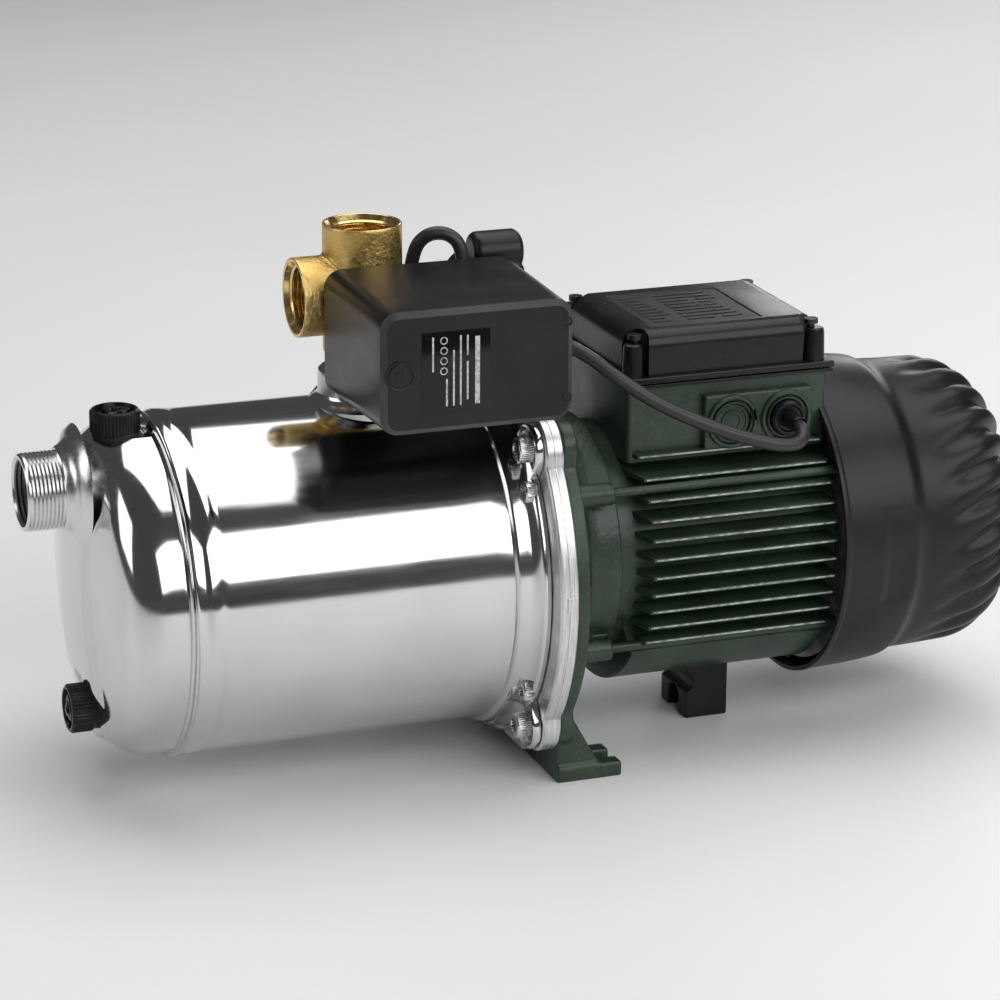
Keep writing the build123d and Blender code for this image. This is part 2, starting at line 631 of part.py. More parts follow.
# ---------------------------------------------------------------- rear end shield, washer and tie rods
shield_t = 6.0
shield_x1 = frame_x1 + shield_t
washer_t = 1.2
rear_shield = rod_x(frame_x1, shield_x1, hypot(tie_y, tie_z) + 5.0)
rear_shield += tube_x(frame_x1 - spigot_len, frame_x1 + 1, frame_bore_r - fit, frame_bore_r - 5)
rear_shield += rod_x(rear_bearing_x + 1, shield_x1, bearing_od_r + 6)
bearing_floor_x = rear_bearing_x + bearing_w + washer_t + 2 * fit
rear_shield -= rod_x(rear_bearing_x, bearing_floor_x, bearing_od_r + fit)
rear_shield -= rod_x(rear_bearing_x, shield_x1 + 1, bearing_bore_r + 1.5)
for i in range(12):
    vent = Pos(0, 0, axis_h) * Rot(30 * i + 15, 0, 0) * Pos(frame_x1, 0, 40)
    rear_shield -= vent * Box(30, 9, 20)
clip_angles = (94.0, 266.0, 180.0)   # from straight up
lug_r = cover_rim_r - cover_wall - 1.6
for angle in clip_angles:
    lug = Pos(0, 0, axis_h) * Rot(angle, 0, 0)
    lug_x = (frame_x1 + shield_x1) / 2
    rear_shield += lug * Pos(lug_x, 0, (58 + lug_r) / 2) * Box(shield_t, 12, lug_r - 58)
    rear_shield += lug * Pos(lug_x, 0, (58 + cover_rim_r - 1.4) / 2) * Box(1.8, 4.4, cover_rim_r - 1.4 - 58)
for sy in (-1, 1):
    for sz in (-1, 1):
        rear_shield -= rod_x(frame_x1 - 6, shield_x1 + 1, tie_r + slack, sy * tie_y, sz * tie_z)
save("rear_end_shield", rear_shield)
washer_x = rear_bearing_x + bearing_w + fit
save("wave_washer", tube_x(washer_x, washer_x + washer_t, bearing_od_r - 0.5, bearing_od_r - 4.5))

tie_rods = []
for sy in (-1, 1):
    for sz in (-1, 1):
        y, z = sy * tie_y, sz * tie_z
        tie_rods.append(rod_x(tie_boss_x1, shield_x1 + 6, tie_r, y, z) + rod_x(shield_x1 + fit, shield_x1 + 4, 4.5, y, z))
save("tie_rods", group(tie_rods))

# ---------------------------------------------------------------- cooling fan and cover
fan_x0 = shield_x1 + 12.0
cooling_fan = tube_x(fan_x0, fan_x0 + 18, 14.0, shaft_fan_r + fit)
cooling_fan += tube_x(fan_x0, fan_x0 + 2.5, fan_r, 12)
for i in range(9):
    vane = Pos(0, 0, axis_h) * Rot(40 * i, 0, 0) * Pos(fan_x0 + 10, 0, (fan_r + 12) / 2)
    cooling_fan += vane * Box(17, 2.2, fan_r - 12)
save("cooling_fan", cooling_fan)


def cover_form(inset):
    """The fan cover's outside, or its inside when shrunk by a wall."""
    rim = cover_rim_r - inset
    rear = cover_rear_r - inset
    end = cover_x1 - inset
    start = cover_x0 - (1.0 if inset else 0.0)
    path = FilletPolyline((start, rim), (cover_x0 + 17, rim - 0.8), (cover_x0 + 42, rear), (end, rear),
                          (end, 0), radius=[30.0, 60.0, cover_round_r - inset])
    closing = Polyline((end, 0), (start, 0), (start, rim))
    return Pos(0, 0, axis_h) * revolve(make_face(path + closing), Axis.X)


fan_cover = cover_form(0.0) - cover_form(cover_wall)
slot_r0 = 30.0
for i in range(cover_slots):
    slot = Pos(0, 0, axis_h) * Rot(360 / cover_slots * i, 0, 0)
    fan_cover -= slot * Pos(cover_x1 - 12, 0, (slot_r0 + cover_rear_r + 2) / 2) * Box(26, 4.0, cover_rear_r + 2 - slot_r0)
notch_top = box_seam_z + lid_lip_t + slack
fan_cover -= box(cover_x0 - 1, box_x1 + 1.5, -box_half_w - 1.5, box_half_w + 1.5, box_low_z - 1.5, notch_top)
for angle in clip_angles:
    clip_hole = Pos(0, 0, axis_h) * Rot(angle, 0, 0) * Pos((frame_x1 + shield_x1) / 2, 0, cover_rim_r - 1)
    fan_cover -= clip_hole * Box(2.4, 5.0, 8)
save("fan_cover", fan_cover)


# ---------------------------------------------------------------- rear foot
def rear_foot():
    """A moulded saddle that clips under the motor frame."""
    x0 = rear_foot_x - rear_foot_len / 2
    x1 = rear_foot_x + rear_foot_len / 2
    body = box(x0, x1, -17, 17, -axis_h, -fin_tip_r + 14)
    body -= rod_x(x0 - 1, x1 + 1, fin_tip_r + fit)
    arch = rod_x(x0 - 1, x1 + 1, 7.0, 0, -axis_h + 7) + box(x0 - 1, x1 + 1, -7, 7, -axis_h - 1, -axis_h + 7)
    body -= arch
    body -= rod_y(-20, 20, 6.0, x0 - 2, -axis_h + 20)
    return body


save("rear_foot", rear_foot())

# ---------------------------------------------------------------- terminal box lid, gasket and contents
gasket_t = 1.5
lid_z0 = box_seam_z + gasket_t
lip_x0 = box_x0 - 3.0
lip_x1 = box_x1 + 3.0
lip_half = box_half_w + 3.0
gasket_ring = box(box_x0, box_x1, -box_half_w, box_half_w, box_seam_z, lid_z0)
gasket_ring -= box(box_x0 + box_wall, box_x1 - box_wall, -inner_half, inner_half, box_seam_z - 1, lid_z0 + 1)
main_x0 = box_x0 + 1.0
main_x1 = main_x0 + lid_main_len
main_half = box_half_w - 0.5
lid = box(main_x0, main_x1, -main_half, main_half, lid_z0, lid_top_z)
lid = fillet(lid.edges().group_by(Axis.Z)[-1] + lid.edges().filter_by(Axis.Z), lid_round_r)
lip = box(lip_x0, lip_x1, -lip_half, lip_half, lid_z0, lid_z0 + lid_lip_t - gasket_t)
lip = fillet(lip.edges().filter_by(Axis.Z), 5.0)
cavity = box(main_x0 + box_wall, main_x1 - box_wall, -main_half + box_wall, main_half - box_wall,
             lid_z0 - 1, lid_top_z - box_wall)
cavity = fillet(cavity.edges().group_by(Axis.Z)[-1] + cavity.edges().filter_by(Axis.Z), lid_round_r - box_wall)
terminal_lid = lid + lip - cavity
screw_places = [(main_x0 + 4.5, -main_half + 4.5), (main_x0 + 4.5, main_half - 4.5),
                (main_x1 - 4.5, -main_half + 4.5), (main_x1 - 4.5, main_half - 4.5)]
lid_screws = []
for x, y in screw_places:
    terminal_lid += rod_z(lid_z0, lid_top_z - 4, 4.3, x, y)
    terminal_lid -= rod_z(lid_z0 - 1, lid_top_z, 1.9 + fit, x, y)
    terminal_lid -= rod_z(lid_top_z - 4, lid_top_z + 1, 4.0, x, y)
    screw = rod_z(lid_z0, lid_top_z - 4, 1.9, x, y) + rod_z(lid_top_z - 4 + fit, lid_top_z - 1.5, 3.6, x, y)
    screw -= box(x - 3, x + 3, y - 0.5, y + 0.5, lid_top_z - 2.7, lid_top_z)
    lid_screws.append(screw)
terminal_lid -= box(main_x0 + 14, main_x1 - 32, -main_half + 14, main_half - 14, lid_top_z - 0.8, lid_top_z + 1)
save("terminal_box_gasket", gasket_ring)
save("terminal_box_lid", terminal_lid)
save("lid_screws", group(lid_screws))

capacitor_r = 16.0
capacitor_z = box_floor_z + capacitor_r
block_x0 = box_x0 + 30.0
save("capacitor", rod_x(box_x0 + 12, box_x0 + 76, capacitor_r, 20, capacitor_z + fit))
terminal_block = box(block_x0, block_x0 + 48, -34, -18, box_floor_z, box_floor_z + 14)
for i in range(5):
    terminal_block -= rod_z(box_floor_z + 4, box_floor_z + 15, 2.6, block_x0 + 6 + 9 * i, -26)
save("terminal_block", terminal_block)


# ---------------------------------------------------------------- glands
def gland(y_seat, x, z, bore_r):
    """A compression gland in the terminal box, screwed in from the front."""
    body = rod_y(y_seat, -inner_half, 8.5, x, z)
    collar = Pos(x, y_seat - 3, axis_h + z) * Rot(90, 0, 0) * extrude(RegularPolygon(10.2, 6), 6, both=True)
    return body + (collar & box(x - 11, x + 11, y_seat - 6, y_seat, z - 11, z + 11)) - rod_y(y_seat - 20, 0, bore_r, x, z)


lead_bore = lead_d / 2 + fit
blank = rod_y(panel_y, -inner_half, 8.5, blank_x, gland_z) + rod_y(panel_y - 1.2, panel_y, 10.3, blank_x, gland_z)
save("cable_gland", gland(panel_y, gland_x1, gland_z, lead_bore))
save("blanking_plug", blank)

# ---------------------------------------------------------------- brass manifold
tee = rod_z(tee_z - tee_arm + 6, tee_z + tee_arm, tee_r, discharge_x)
tee += rod_x(discharge_x - tee_arm, discharge_x, tee_r, z=tee_z)
tee += rod_z(casing_r + 2, tee_z - tee_arm + 7, tee_spigot_r, discharge_x)
boss_y = switch_y1
tee += rod_y(boss_y, 0, switch_boss_r, discharge_x, tee_z)
tee -= rod_z(casing_r, tee_z + tee_arm + 1, tee_flow_r, discharge_x)
tee -= rod_x(discharge_x - tee_arm - 1, discharge_x, tee_flow_r, z=tee_z)
tee -= rod_z(tee_z + tee_arm - port_depth, tee_z + tee_arm + 1, port_core_r, discharge_x)
tee -= rod_x(discharge_x - tee_arm - 1, discharge_x - tee_arm + port_depth, port_core_r, z=tee_z)
spigot_hole_r = 5.72
tee -= rod_y(boss_y - 1, 0, spigot_hole_r, discharge_x, tee_z)
save("brass_manifold", tee)

# ---------------------------------------------------------------- pressure switch
switch_x1 = switch_x0 + switch_w
switch_z1 = switch_z0 + switch_h
base_y0 = switch_y1 - base_t
inner_gap = switch_wall + slack
socket_z = tee_z
diaphragm_r = 13.0
diaphragm_y = switch_y1 - 5.0
base = box(switch_x0 + inner_gap, switch_x1 - inner_gap, base_y0, switch_y1,
           switch_z0 + inner_gap, switch_z1 - inner_gap)
base = fillet(base.edges().filter_by(Axis.Y), switch_round_r - switch_wall + slack)
base += rod_y(switch_y1 - 1, switch_y1 + 9, spigot_hole_r - fit, discharge_x, socket_z)
base -= rod_y(diaphragm_y - 12, diaphragm_y, diaphragm_r + fit, discharge_x, socket_z)
base -= rod_y(diaphragm_y - 1, switch_y1 + 10, 3.0, discharge_x, socket_z)
lead_gland_z = switch_z0 + 20.0
lead_gland_y = -45.0
mains_gland_x = -26.0
mains_gland_z = switch_z0 + 16.0
gland_arm_x = switch_x1 - 14.0
base += box(gland_arm_x, switch_x1 - inner_gap, lead_gland_y - 9, base_y0 + 1, lead_gland_z - 9, lead_gland_z + 9)
base -= rod_x(gland_arm_x - 1, switch_x1, 6.0 + fit, lead_gland_y, lead_gland_z)
base -= rod_y(base_y0 - 4, switch_y1 + 1, 6.0 + fit, mains_gland_x, mains_gland_z)
switch_base = base


def hex_gland_x(x0, x1):
    """A gland along +X for the motor lead, its nut outside the cover."""
    nut_x0 = switch_x1 + 1.0
    nut = extrude(facing_x(nut_x0, lead_gland_y, lead_gland_z) * RegularPolygon(8.5, 6), 11)
    return rod_x(x0, x1, 6.0, lead_gland_y, lead_gland_z) + nut


def hex_gland_y():
    """A gland along +Y for the mains lead, in the back of the base."""
    nut_place = Pos(mains_gland_x, switch_y1, axis_h + mains_gland_z) * Rot(-90, 0, 0)
    nut = nut_place * extrude(RegularPolygon(8.5, 6), 11)
    return rod_y(base_y0 - 2, switch_y1 + 1, 6.0, mains_gland_x, mains_gland_z) + nut


lead_gland = hex_gland_x(gland_arm_x - 2, switch_x1 + 2) - rod_x(gland_arm_x - 9, 40, lead_bore, lead_gland_y, lead_gland_z)
mains_bore = mains_d / 2 + fit
mains_gland = hex_gland_y() - rod_y(base_y0 - 9, 20, mains_bore, mains_gland_x, mains_gland_z)

plunger_y0 = diaphragm_y - 1.2 - 26.0
spring_r = 5.0
spring_x = switch_x1 - 29.5
plunger_arm_end = spring_x - spring_r - 7.3
plunger = rod_y(diaphragm_y - 4.2, diaphragm_y - 1.2, 9.0, discharge_x, socket_z)
plunger += rod_y(plunger_y0, diaphragm_y - 2, 3.0, discharge_x, socket_z)
plunger += box(discharge_x - 8, plunger_arm_end, plunger_y0 - 3, plunger_y0, socket_z - 4, socket_z + 4)
block_y1 = plunger_y0 - 6.0
contact_block = box(discharge_x - 14, discharge_x + 40, block_y1 - 16, block_y1, switch_z0 + 14, switch_z1 - 12)
for i in range(4):
    contact_block -= rod_y(block_y1 - 17, block_y1 - 8, 2.6, discharge_x - 6 + 12.5 * i, switch_z0 + 22)
for post_x in (discharge_x - 11, discharge_x + 26):
    contact_block += box(post_x - 3, post_x + 3, block_y1 - 1, base_y0, switch_z0 + 15, switch_z0 + 24)
post_places = [(spring_x + 14, switch_z0 + 48), (spring_x, switch_z0 + 48)]
springs = []
for x, z in post_places:
    spring = coil_spring(26.0, spring_r, 0.8, 5)
    springs.append(Pos(x, base_y0, axis_h + z) * Rot(90, 0, 0) * spring)


def cover_block(inset):
    """The switch cover's outside, or its hollow: a box that tapers towards the front."""
    draft = 1.5
    back = switch_y1 - 2.0
    front = switch_y0 + inset
    r = switch_round_r - inset
    cx = (switch_x0 + switch_x1) / 2
    cz = axis_h + (switch_z0 + switch_z1) / 2
    rear = RectangleRounded(switch_w - 2 * inset, switch_h - 2 * inset, r)
    nose = RectangleRounded(switch_w - 2 * inset - 2 * draft, switch_h - 2 * inset - 2 * draft, r)
    rear_plane = Plane(origin=(cx, back + (1 if inset else 0), cz), x_dir=(1, 0, 0), z_dir=(0, -1, 0))
    nose_plane = Plane(origin=(cx, front, cz), x_dir=(1, 0, 0), z_dir=(0, -1, 0))
    return loft([rear_plane * rear, nose_plane * nose])


switch_cover = cover_block(0.0)
switch_cover = chamfer(switch_cover.edges().group_by(Axis.Y)[0], 1.4)
switch_cover -= cover_block(switch_wall)
notch_z0, notch_z1 = lead_gland_z - 10.5, lead_gland_z + 10.5
switch_cover -= box(switch_x1 - 6, switch_x1 + 2, lead_gland_y - 11, switch_y1, notch_z0, notch_z1)
screw_x = switch_x0 + 11.0
screw_z = (switch_z0 + switch_z1) / 2
switch_cover -= rod_y(switch_y0 - 1, switch_y0 + 1.0, 6.6, screw_x, screw_z)
switch_cover -= rod_y(switch_y0 - 1, switch_y0 + 8, 3.0 + fit, screw_x, screw_z)
cover_screw = rod_y(switch_y0 - 0.8, switch_y0 + 0.95, 6.0, screw_x, screw_z)
cover_screw += rod_y(switch_y0 + 0.5, switch_y0 + 24, 3.0, screw_x, screw_z)
cover_screw -= box(screw_x - 5, screw_x + 5, switch_y0 - 1, switch_y0 + 0.3, screw_z - 0.8, screw_z + 0.8)

lever_y = -88.0
lever_z = (switch_z0 + switch_z1) / 2
lever_x = switch_x1 - 1.0
lever_arm = 20.0
lever = rod_x(lever_x - 4, lever_x + 6, 4.0 - gap, lever_y, lever_z)
lever += rod_x(lever_x + 1.5, lever_x + 6, 7.0, lever_y, lever_z)
lever += box(lever_x + 1.5, lever_x + 6, lever_y - 3.5, lever_y + 3.5, lever_z - lever_arm, lever_z)
lever += rod_x(lever_x + 1.5, lever_x + 6, 3.5, lever_y, lever_z - lever_arm)
switch_cover -= rod_x(switch_x1 - 6, switch_x1 + 1, 4.0, lever_y, lever_z)
save("switch_base", switch_base)
save("switch_diaphragm", rod_y(diaphragm_y - 1.1, diaphragm_y - 0.1, diaphragm_r, discharge_x, socket_z))
save("contact_plunger", plunger)
save("contact_block", contact_block)
save("pressure_springs", group(springs))
save("switch_cover", switch_cover)
save("cover_screw", cover_screw)
save("auto_off_lever", lever)
save("switch_glands", group([lead_gland, mains_gland]))


# ---------------------------------------------------------------- cords
def cord_route(name, points, diameter):
    """A round cord along straight runs joined by arcs as large as the runs allow."""
    radii = []
    for before, point, after in zip(points, points[1:], points[2:]):
        run_in = Vector(*point) - Vector(*before)
        run_out = Vector(*after) - Vector(*point)
        turn = radians(run_in.get_angle(run_out))
        radii.append(0.45 * min(run_in.length, run_out.length) / tan(turn / 2))
    path = FilletPolyline(*[Vector(*p) for p in points], radius=radii)
    start = Plane(origin=points[0], z_dir=Vector(*points[1]) - Vector(*points[0]))
    cord = sweep(start * Circle(diameter / 2), path=path)
    section = pi * (diameter / 2) ** 2
    print(name, "length", round(path.length, 1), "radii", [round(r) for r in radii],
          "volume ratio", round(cord.volume / section / path.length, 4))
    return cord


def fitted(points):
    """A route chosen by hand for the casing's usual radius, moved out and up for a larger one."""
    out = casing_r / 87.0
    up = (axis_h + mains_gland_z) / 218.0
    return [(x, y * out if y > 20 else y, z * up) for x, y, z in points]


lead_z = axis_h + lead_gland_z
box_gland_z = axis_h + gland_z
lead_points = [(switch_x1 + 12.0, lead_gland_y, lead_z), (switch_x1 + 20.0, lead_gland_y, lead_z)]
lead_points += fitted([
    (17, -52, 217), (29, -62, 207), (46, -71, 195), (66, -77, 185), (86, -82, 177), (104, -85, 171.5),
    (117, -84, 169), (125, -79.5, 170.5),
])
lead_points += [(gland_x1, -70.5, box_gland_z), (gland_x1, panel_y - 6.0, box_gland_z)]
mains_z = axis_h + mains_gland_z
mains_y = switch_y1 + 11.0
coil_x = -90.0
coil_y = 150.0 * casing_r / 87.0
coil_mid_r = 38.0
coil_turns_wide = 2
coil_turns_high = 2
coil_right = coil_x + coil_mid_r + mains_d / 2
coil_left = coil_x - coil_mid_r - mains_d / 2
coil_top_z = mains_d * (coil_turns_high - 0.5)
out_points = [(mains_gland_x, mains_y, mains_z), (mains_gland_x, mains_y + 16, mains_z)]
out_points += fitted([
    (-30, 25, 213), (-37, 48, 198), (-43, 70, 176), (-46.5, 87, 147), (-48, 97, 114), (-48.5, 101, 80),
    (-48.5, 104, 48), (-48.5, 112, 21), (-48.5, 130, 5),
])
out_points.append((coil_right, coil_y, mains_d / 2))
plug_low_z = mains_gland_z + 9.0
plug_grip_z = plug_low_z + 37.5
tail_x = -36.5
tail_y = -16.0
tail_z = axis_h + plug_low_z + 33.0
tail_points = [(coil_left, coil_y, coil_top_z)]
tail_points += fitted([
    (coil_left, 133, coil_top_z), (-130, 117, 17), (-126, 107, 38), (-119, 103, 66), (-110, 101, 97),
    (-100, 97, 130), (-89, 84, 162), (-76, 63, 188), (-65, 38, 206), (-60, 18, 217), (-59.2, 6, 232),
    (-59.2, 0, 248), (-59, -2.5, 260.5), (-57, -6, 270.5), (-51, -9.5, 275.8), (-42.5, -13, 275.3),
    (-37, -15.4, 269),
])
tail_points.append((tail_x, tail_y, tail_z))
save("motor_lead", cord_route("motor_lead", lead_points, lead_d))
coil_ring = Cylinder(coil_mid_r + mains_d * coil_turns_wide / 2, mains_d * coil_turns_high)
coil_ring -= Cylinder(coil_mid_r - mains_d * coil_turns_wide / 2, mains_d * coil_turns_high + 1)
cord_coil = Pos(coil_x, coil_y, mains_d * coil_turns_high / 2) * coil_ring
save("mains_cord", cord_route("mains_cord", out_points, mains_d) - cord_coil)
save("plug_tail", cord_route("plug_tail", tail_points, mains_d) - cord_coil)
save("cord_coil", cord_coil)

# ---------------------------------------------------------------- moulded plug, stood behind the switch
plug_x = -23.0
plug_w = 36.0
plug_back_y = switch_y1 + slack
plug_depth = 21.0
plug_face_r = 18.75
plug_face_t = 8.0
plug_face_y = plug_back_y + plug_depth
plug_face_z = plug_low_z + plug_face_r
plug_grip_r = 10.5
plug_body = box(plug_x - plug_w / 2, plug_x + plug_w / 2, plug_back_y, plug_face_y, plug_low_z, plug_low_z + 33)
plug_body = fillet(plug_body.edges(), 5.0)
plug_body += rod_y(plug_face_y - 1, plug_face_y + plug_face_t, plug_face_r, plug_x, plug_face_z)
grip_y = plug_face_y - plug_grip_r + 2
grip = rod_x(plug_x - plug_w / 2 + 9.6, plug_x + plug_w / 2, plug_grip_r, grip_y, plug_grip_z)
plug_body += fillet(grip.edges(), 4.0)
boot_r = mains_d / 2 + 1.5
plug_body += rod_z(plug_low_z + 20, tail_z - axis_h, boot_r, tail_x, tail_y)
pin_r = 2.4
pin_spread = 9.5
pin_len = 19.0
pin_y = plug_face_y + plug_face_t
plug_pins = []
for side in (-1, 1):
    pin_x = plug_x + side * pin_spread
    plug_body -= rod_y(pin_y - 6, pin_y + 1, pin_r + fit, pin_x, plug_face_z)
    pin = rod_y(pin_y - 6, pin_y + pin_len, pin_r, pin_x, plug_face_z)
    plug_pins.append(fillet(pin.edges().sort_by(Axis.Y)[-1], 1.2))
save("mains_plug", plug_body)
save("plug_pins", group(plug_pins))
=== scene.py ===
"""A shallow well jet pump with a brass tee and a boxed pressure switch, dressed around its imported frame."""
import json
from math import cos, hypot, pi, radians, sin, sqrt

import bmesh
import bpy
from mathutils import Euler, Matrix, Vector


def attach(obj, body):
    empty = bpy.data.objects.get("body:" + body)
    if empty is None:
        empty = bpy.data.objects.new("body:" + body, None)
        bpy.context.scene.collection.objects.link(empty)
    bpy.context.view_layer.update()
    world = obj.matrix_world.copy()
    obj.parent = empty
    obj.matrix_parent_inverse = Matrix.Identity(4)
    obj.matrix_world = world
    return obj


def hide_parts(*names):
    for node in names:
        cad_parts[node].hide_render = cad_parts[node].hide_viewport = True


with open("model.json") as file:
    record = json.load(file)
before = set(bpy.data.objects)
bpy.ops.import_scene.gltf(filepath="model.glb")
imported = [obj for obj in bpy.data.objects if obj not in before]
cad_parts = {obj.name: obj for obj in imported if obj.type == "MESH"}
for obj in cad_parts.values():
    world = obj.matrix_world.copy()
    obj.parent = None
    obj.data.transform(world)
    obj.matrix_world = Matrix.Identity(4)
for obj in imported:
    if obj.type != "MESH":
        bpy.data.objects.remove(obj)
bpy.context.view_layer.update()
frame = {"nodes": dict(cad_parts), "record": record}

# ------------------------ camera
# A long lens, above the pump and to the left of its front, as in a catalogue picture.
camera_data = bpy.data.cameras.new("camera")
camera_data.lens = 131.9
camera = bpy.data.objects.new("camera", camera_data)
camera.location = (-0.6396, -1.6949, 0.7096)
look = Euler((radians(90 - 17.83), 0, radians(-20.38))).to_matrix() @ Matrix.Rotation(radians(0.35), 3, "Z")
camera.rotation_euler = look.to_euler()
bpy.context.scene.collection.objects.link(camera)
bpy.context.scene.camera = camera

# ------------------------ floor
# A plain pale floor that runs well past the picture's edges.
class Signal:
    """One socket of a material's nodes, so that shader maths reads like ordinary maths."""

    def __init__(self, finish, socket):
        self.finish = finish
        self.socket = socket

    def math(self, operation, first, second=0.0):
        return self.finish.node("ShaderNodeMath", {"operation": operation}, {0: first, 1: second})

    def __add__(self, other):
        return self.math("ADD", self, other)

    def __radd__(self, other):
        return self.math("ADD", other, self)

    def __sub__(self, other):
        return self.math("SUBTRACT", self, other)

    def __rsub__(self, other):
        return self.math("SUBTRACT", other, self)

    def __mul__(self, other):
        return self.math("MULTIPLY", self, other)

    def __rmul__(self, other):
        return self.math("MULTIPLY", other, self)


class Finish:
    """One material: a Principled shader with constants set on it, and nodes added one at a time."""

    def __init__(self, name, **constants):
        self.material = bpy.data.materials.new(name)
        self.material.use_nodes = True
        self.nodes = self.material.node_tree.nodes
        self.links = self.material.node_tree.links
        self.shader = self.nodes["Principled BSDF"]
        for words, value in constants.items():
            self.shader.inputs[words.replace("_", " ")].default_value = value

    def node(self, kind, settings, inputs, output=0):
        made = self.nodes.new(kind)
        for words, value in settings.items():
            setattr(made, words, value)
        for key, value in inputs.items():
            if isinstance(value, Signal):
                self.links.new(value.socket, made.inputs[key])
            else:
                made.inputs[key].default_value = value
        return Signal(self, made.outputs[output])

    def place(self, stretch=(1, 1, 1)):
        """The object's own coordinates, stretched."""
        where = self.node("ShaderNodeTexCoord", {}, {}, "Object")
        return self.node("ShaderNodeMapping", {}, {"Vector": where, "Scale": stretch})

    def noise(self, scale, detail=3.0, roughness=0.5, stretch=(1, 1, 1)):
        return self.node("ShaderNodeTexNoise", {}, {"Vector": self.place(stretch), "Scale": scale,
                                                    "Detail": detail, "Roughness": roughness})

    def spread(self, signal, low, high, new_low, new_high):
        return self.node("ShaderNodeMapRange", {}, {0: signal, 1: low, 2: high, 3: new_low, 4: new_high})

    def blend(self, amount, first, second):
        """Goes from the first colour to the second as the amount goes from 0 to 1."""
        first, second = [(*c, 1.0) if isinstance(c, tuple) and len(c) == 3 else c for c in (first, second)]
        return self.node("ShaderNodeMix", {"data_type": "RGBA"}, {0: amount, 6: first, 7: second}, 2)

    def tint(self, marks, low, high, dark, light):
        """Dark where the marks are below low, light where they are above high."""
        return self.blend(self.spread(marks, low, high, 0.0, 1.0), dark, light)

    def bump(self, height, strength, distance, below=None):
        inputs = {"Height": height, "Strength": strength, "Distance": distance}
        if below is not None:
            inputs["Normal"] = below
        return self.node("ShaderNodeBump", {}, inputs)

    def feed(self, **signals):
        for words, signal in signals.items():
            self.links.new(signal.socket, self.shader.inputs[words.replace("_", " ")])
        return self.material


def floor_finish():
    finish = Finish("pale_floor", Roughness=0.55, Specular_IOR_Level=0.3)
    tone = finish.tint(finish.noise(3.0), 0.3, 0.7, (0.93, 0.93, 0.93), (0.95, 0.95, 0.95))
    return finish.feed(Base_Color=tone)


floor_mesh = bpy.data.meshes.new("floor")
floor_form = bmesh.new()
bmesh.ops.create_grid(floor_form, x_segments=1, y_segments=1, size=12.0)
floor_form.to_mesh(floor_mesh)
floor_form.free()
floor_mesh.materials.append(floor_finish())
floor = bpy.data.objects.new("floor", floor_mesh)
bpy.context.scene.collection.objects.link(floor)


# ------------------------ studio light
# Soft boxes over, in front of and behind the pump, with gaps between them that the steel shows as dark bands.
def soft_box(name, place, aim, width, height, power):
    """A rectangular lamp at a place, turned towards a point."""
    lamp = bpy.data.lights.new(name, "AREA")
    lamp.shape = "RECTANGLE"
    lamp.size = width
    lamp.size_y = height
    lamp.energy = power
    holder = bpy.data.objects.new(name, lamp)
    holder.location = place
    holder.rotation_euler = (Vector(aim) - Vector(place)).to_track_quat("-Z", "Y").to_euler()
    bpy.context.scene.collection.objects.link(holder)


centre = (-0.03, 0.0, 0.12)
soft_box("front_box", (0.75, -1.9, 1.26), centre, 3.2, 1.3, 34)
soft_box("top_box", (0.45, 0.43, 2.3), centre, 3.4, 2.1, 46)
soft_box("left_box", (-2.3, 0.2, 1.0), centre, 1.1, 1.2, 8)
soft_box("back_box", (1.6, 2.0, 0.8), centre, 1.0, 0.5, 6)
world = bpy.data.worlds.new("room")
world.use_nodes = True
world.node_tree.nodes["Background"].inputs["Color"].default_value = (0.96, 0.98, 1.0, 1.0)
world.node_tree.nodes["Background"].inputs["Strength"].default_value = 0.07
bpy.context.scene.world = world
bpy.context.scene.view_settings.view_transform = "Standard"


# ------------------------ mains lead
# A 7 mm rubber-sheathed lead. It leaves a gland in the back of the switch, goes down behind the casing to a
# small coil on the floor and comes up again to its moulded plug, which is stowed behind the switch.
def sheath():
    finish = Finish("cord_sheath", Specular_IOR_Level=0.5)
    worn = finish.noise(160.0, 4.0)
    patches = finish.noise(22.0, 2.0)
    tone = finish.tint(patches, 0.35, 0.7, (0.018, 0.018, 0.019), (0.034, 0.034, 0.036))
    return finish.feed(Base_Color=tone, Roughness=finish.spread(worn, 0.3, 0.7, 0.34, 0.46),
                       Normal=finish.bump(worn, 0.12, 0.0004))


def millimetres(points):
    return [Vector(point) / 1000 for point in points]


def cord(name, points, diameter, body, nodes):
    """A round cord along one smooth spline through given points."""
    curve = bpy.data.curves.new(name, "CURVE")
    curve.dimensions = "3D"
    curve.bevel_depth = diameter / 2
    curve.bevel_resolution = 5
    curve.use_fill_caps = True
    spline = curve.splines.new("NURBS")
    spline.points.add(len(points) - 1)
    for knot, point in zip(spline.points, points):
        knot.co = (*point, 1.0)
    spline.order_u = 3
    spline.use_endpoint_u = True
    spline.resolution_u = 10
    piece = bpy.data.objects.new(name, curve)
    bpy.context.scene.collection.objects.link(piece)
    curve.materials.append(cord_finish)
    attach(piece, body)
    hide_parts(*nodes)
    return piece


